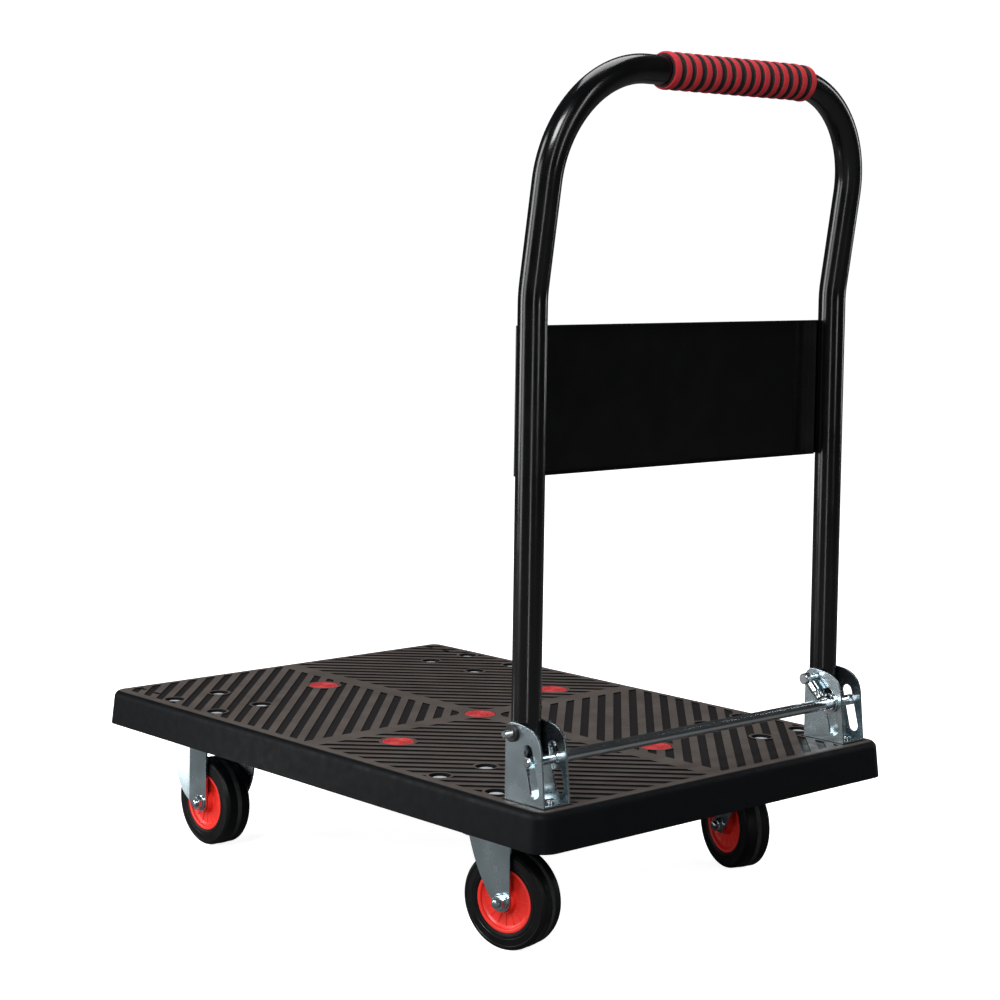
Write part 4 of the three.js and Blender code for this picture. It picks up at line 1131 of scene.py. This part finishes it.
def bracket(side, name):
    y = side * TUBE_Y
    low, high = y - CHEEK_OUTER, y + CHEEK_OUTER
    half = BRACKET_INNER_GAP / 2
    body = prism("bracket", cheek_outline(), low, high, "Y")
    floor = BRACKET_FLOOR + BRACKET_SHEET
    room = block("room", (PIVOT.x - 90, y - half, floor), (PIVOT.x + 90, y + half, PIVOT.z + 60))
    slot = prism("slot", slot_outline(), low - 3, high + 3, "Y")
    cut(body, room, bolt_hole(30, facing_y(PIVOT.x, y, PIVOT.z)), slot)
    rounded_edges(body, 0.35)
    dress(body, f"hinge_bracket_{name}", ZINC, "deck", (f"bracket_{name}",))
    seat = floor + GAP
    for place, x in BASE_BOLTS:
        profile = [(0, seat - BASE_BOLT_LENGTH), (BOLT_RADIUS, seat - BASE_BOLT_LENGTH)]
        profile += domed_head(BASE_BOLT_HEAD, seat, 1.6, 2.4, (0.35, 0.7, 1.05, 1.3))
        bolt = lathe("bolt", profile + [(0, seat + BASE_BOLT_HEAD_HEIGHT)], at(PIVOT.x + x, y, 0), 40)
        node = f"base_bolt_{name}_{place}"
        dress(bolt, f"foot_bolt_{name}_{place}", STEEL, "deck", (node,))


def pivot(side, name):
    """The pivot bolt, its head inside and its thread outside, with a round nut."""
    spring_y = abs(middle(f"lock_spring_{name}").y)
    head_outer = spring_y - 1 - GAP
    head_inner = head_outer - 6
    seat = TUBE_Y + CHEEK_OUTER + GAP
    end = seat + PIVOT_NUT_THICKNESS + PIVOT_THREAD_END
    profile = [(0, head_inner), (PIVOT_HEAD - 1, head_inner), (PIVOT_HEAD, head_inner + 1)]
    profile += [(PIVOT_HEAD, head_outer), (BOLT_RADIUS, head_outer), (BOLT_RADIUS, end - 9)]
    profile += thread(BOLT_RADIUS, end - 9, end) + [(0, end)]
    place = facing_y(PIVOT.x, 0, PIVOT.z, side)
    bolt = lathe("bolt", profile, place, 40)
    dress(bolt, f"hinge_bolt_{name}", STEEL, "deck", (f"pivot_bolt_{name}",))
    outer = seat + PIVOT_NUT_THICKNESS
    profile = [(BOLT_HOLE, seat), (PIVOT_NUT, seat), (PIVOT_NUT, outer - 0.8), (PIVOT_NUT - 0.8, outer)]
    nut = lathe("nut", profile + [(BOLT_HOLE, outer)], place, 48, closed=True)
    dress(nut, f"hinge_nut_{name}", BLACK, "deck", (f"pivot_nut_{name}",))


def lock_rod():
    """The rod across both brackets, with a washer and a hexagon end piece on each side."""
    end = low_high("lock_rod")[1].y
    hex_inner = TUBE_Y + BRACKET_INNER_GAP / 2 - ROD_HEX_INSET
    neck_end = hex_inner - GAP
    step = TUBE_Y - BRACKET_INNER_GAP / 2 - GAP
    r, neck = ROD_END_RADIUS, ROD_NECK_RADIUS
    half = [(0, end), (r - 0.6, end), (r, end - 0.6), (r, neck_end), (neck, neck_end), (neck, step)]
    half += [(ROD_RADIUS - 0.4, step), (ROD_RADIUS, step - 0.4)]
    rod = lathe("rod", mirrored_profile(half), facing_y(ROD.x, 0, ROD.z), 48)
    dress(rod, "release_rod", STEEL, "lock_rod", ("lock_rod",))
    bore, rim, edge = ROD_RADIUS + GAP, WASHER_RADIUS, 0.3
    for name, side in SIDES:
        place = facing_y(ROD.x, 0, ROD.z, side)
        outer = TUBE_Y - CHEEK_OUTER - GAP
        inner = outer - WASHER_THICKNESS
        profile = [(bore, inner), (rim - edge, inner), (rim, inner + edge), (rim, outer - edge)]
        washer = lathe("washer", profile + [(rim - edge, outer), (bore, outer)], place, 56, closed=True)
        dress(washer, f"washer_{name}", STEEL, "lock_rod", (f"rod_washer_{name}",))
        height = BRACKET_SHEET + ROD_HEX_INSET + ROD_HEX_STANDOUT
        hexed = hexagon("hex", ROD_HEX_RADIUS, height, place @ at(0, 0, hex_inner), BOLT_HOLE)
        dress(hexed, f"rod_hex_{name}", STEEL, "lock_rod", (f"rod_end_{name}",))


def coil_points(start, end, radius, turns, per_turn):
    """A helix between two points."""
    line = end - start
    across = line.orthogonal().normalized()
    other = line.normalized().cross(across)
    count = turns * per_turn
    points = []
    for i in range(count + 1):
        share = i / count
        turn = 2 * math.pi * turns * share
        points.append(start + line * share + (across * math.cos(turn) + other * math.sin(turn)) * radius)
    return points


def with_tangents(points):
    last = len(points) - 1
    return [(p, points[min(i + 1, last)] - points[max(i - 1, 0)]) for i, p in enumerate(points)]


def lock_spring(name):
    """A sleeve, a coil and a collar between two eyes, from the pivot bolt to the rod."""
    y = middle(f"lock_spring_{name}").y
    top, end = Vector((PIVOT.x, y, PIVOT.z)), Vector((ROD.x, y, ROD.z))
    along = (end - top).normalized()
    reach = (end - top).length
    first, last = top + along * SLEEVE_END, end - along * 9.5
    stations = with_tangents(coil_points(first, last, COIL_RADIUS, COIL_TURNS, 24))
    coil = sweep("coil", stations, [COIL_WIRE] * len(stations), 10)
    turned = along.to_track_quat("Z", "Y").to_matrix().to_4x4()
    for start, stop in ((6.8, SLEEVE_END + 0.5), (reach - 10.2, reach - 8.2)):
        length = stop - start
        profile = [(2.4, 0), (4.7, 0), (5, 0.3), (5, length - 0.3), (4.7, length), (2.4, length)]
        collar = lathe("collar", profile, at(*(top + along * start)) @ turned, 40, closed=True)
        joined(coil, collar)
    for centre, bore in ((top, BOLT_HOLE), (end, ROD_RADIUS + GAP)):
        rim = bore + EYE_WALL
        eye = lathe("eye", [(bore, -1), (rim, -1), (rim, 1), (bore, 1)], facing_y(*centre), 40, True)
        joined(coil, eye)
    coil.name = f"coil_{name}"
    dress_blended(coil, (f"lock_spring_{name}",))


def dress_blended(obj, replaced):
    """Steel that stretches between the deck and the lock rod."""
    obj.data.materials.clear()
    obj.data.materials.append(STEEL)
    smooth(obj)
    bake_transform(obj)
    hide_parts(*replaced)


# ---------- the cart ----------


def cart():
    deck()
    deck_discs()
    caster_bolts()
    handle_tube()
    grip()
    panel()
    lock_rod()
    for name, side in SIDES:
        fixed = f"fixed_caster_{name}"
        swivel = f"swivel_caster_{name}"
        spin = f"swivel_wheel_{name}_spin"
        centre = joint_place(spin)
        wheel(fixed, f"fixed_wheel_{name}_spin", f"fixed_wheel_{name}", "deck", 1)
        nut_side = 1 if joint(spin)["axis"][1] > 0 else -1
        wheel(swivel, spin, f"swivel_wheel_{name}", f"swivel_{name}", nut_side)
        fixed_fork(side, fixed)
        swivel_fork(side, swivel, f"swivel_{name}", centre)
        swivel_head(side, swivel)
        tube_plug(side, name)
        bracket(side, name)
        pivot(side, name)
        lock_spring(name)


def carried_over():
    """The few CAD pieces whose shape stays get their material."""
    for node in frame["nodes"].values():
        if not node.hide_render:
            node.data.materials.clear()
            node.data.materials.append(STEEL)


# ---------- camera, lights and floor ----------

CAMERA_PLACE = (-1.8619, 1.6624, 0.6992)
CAMERA_YAW = math.radians(-42.296)
CAMERA_PITCH = math.radians(-3.87)
CAMERA_ROLL = math.radians(0.87)
CAMERA_LENS = 80.23
CAMERA_SHIFT = (-0.0053, -0.1072)


def camera():
    data = bpy.data.cameras.new("camera")
    data.lens = CAMERA_LENS
    data.shift_x, data.shift_y = CAMERA_SHIFT
    obj = in_scene("camera", data)
    flat = math.cos(CAMERA_PITCH)
    forward = Vector((math.cos(CAMERA_YAW) * flat, math.sin(CAMERA_YAW) * flat, math.sin(CAMERA_PITCH)))
    right = Vector((math.sin(CAMERA_YAW), -math.cos(CAMERA_YAW), 0))
    up = right.cross(forward)
    level_x = right * math.cos(CAMERA_ROLL) + up * math.sin(CAMERA_ROLL)
    level_y = up * math.cos(CAMERA_ROLL) - right * math.sin(CAMERA_ROLL)
    turned = Matrix((level_x, level_y, -forward)).transposed().to_4x4()
    obj.matrix_world = Matrix.Translation(CAMERA_PLACE) @ turned
    bpy.context.scene.camera = obj


def area_light(name, place, width, height, power, target=(0, 0, 0.35)):
    data = bpy.data.lights.new(name, "AREA")
    data.shape = "RECTANGLE"
    data.size, data.size_y, data.energy = width, height, power
    obj = in_scene(name, data)
    obj.location = place
    obj.rotation_mode = "QUATERNION"
    obj.rotation_quaternion = (Vector(target) - Vector(place)).to_track_quat("-Z", "Y")
    obj.visible_camera = False


ROOM_LIGHT = 0.25
ROOM_REFLECTION = 0.04
FLOOR_GLOW = 0.9


def studio():
    area_light("key", (-1.4, 2.8, 2.6), 1.2, 1.2, 90)
    area_light("left_strip", (1.9, 2.2, 1.2), 0.9, 2.2, 45)
    area_light("near_strip", (-1.12, 0.81, 0.8), 0.08, 1.6, 2.2, (-0.31, 0.1, 0.8))
    area_light("flank_strip", (0.6, 2.4, 0.6), 0.7, 1.4, 12, (0.2, 0.2, 0.1))
    area_light("fork_panel", (0.31, 0.47, 0.07), 0.14, 0.13, 0.16, (0.27, 0.21, 0.07))
    area_light("side_strip", (-3.0, -0.2, 1.3), 0.3, 2.0, 12)
    area_light("right_strip", (-0.9, -3.2, 1.3), 0.4, 2.2, 14)
    area_light("top", (0.5, -0.5, 3.2), 2.0, 2.0, 55)
    world = bpy.data.worlds.new("studio")
    bpy.context.scene.world = world
    world.use_nodes = True
    nodes, links = world.node_tree.nodes, world.node_tree.links
    path, strength = nodes.new("ShaderNodeLightPath"), nodes["Background"].inputs["Strength"]
    nodes["Background"].inputs["Color"].default_value = (0.97, 0.985, 1, 1)
    seen = nodes.new("ShaderNodeMix")
    seen.inputs["A"].default_value = ROOM_LIGHT
    seen.inputs["B"].default_value = 1.05
    links.new(path.outputs["Is Camera Ray"], seen.inputs["Factor"])
    mirrored = nodes.new("ShaderNodeMix")
    mirrored.inputs["B"].default_value = ROOM_REFLECTION
    links.new(path.outputs["Is Glossy Ray"], mirrored.inputs["Factor"])
    links.new(seen.outputs["Result"], mirrored.inputs["A"])
    links.new(mirrored.outputs["Result"], strength)
    bpy.context.scene.view_settings.view_transform = "Standard"


def floor():
    half = 12000
    corners = [(-half, -half, 0), (half, -half, 0), (half, half, 0), (-half, half, 0)]
    obj = mesh_object("floor", corners, [(0, 1, 2, 3)])
    n = Nodes("pale_floor")
    path = n.add("ShaderNodeLightPath")
    n.color(n.mix(path.outputs["Is Camera Ray"], (0.14, 0.14, 0.14), (0.9, 0.9, 0.9)))
    glow = n.spread(path.outputs["Is Camera Ray"], 0, 1, 0, FLOOR_GLOW)
    n.link(glow, n.shader.inputs["Emission Strength"])
    n.set(Roughness=0.9, Specular_IOR_Level=0.0, Emission_Color=(1, 1, 1, 1))
    obj.data.materials.append(n.material)


cart()
carried_over()
camera()
studio()
floor()

bpy.context.view_layer.update()
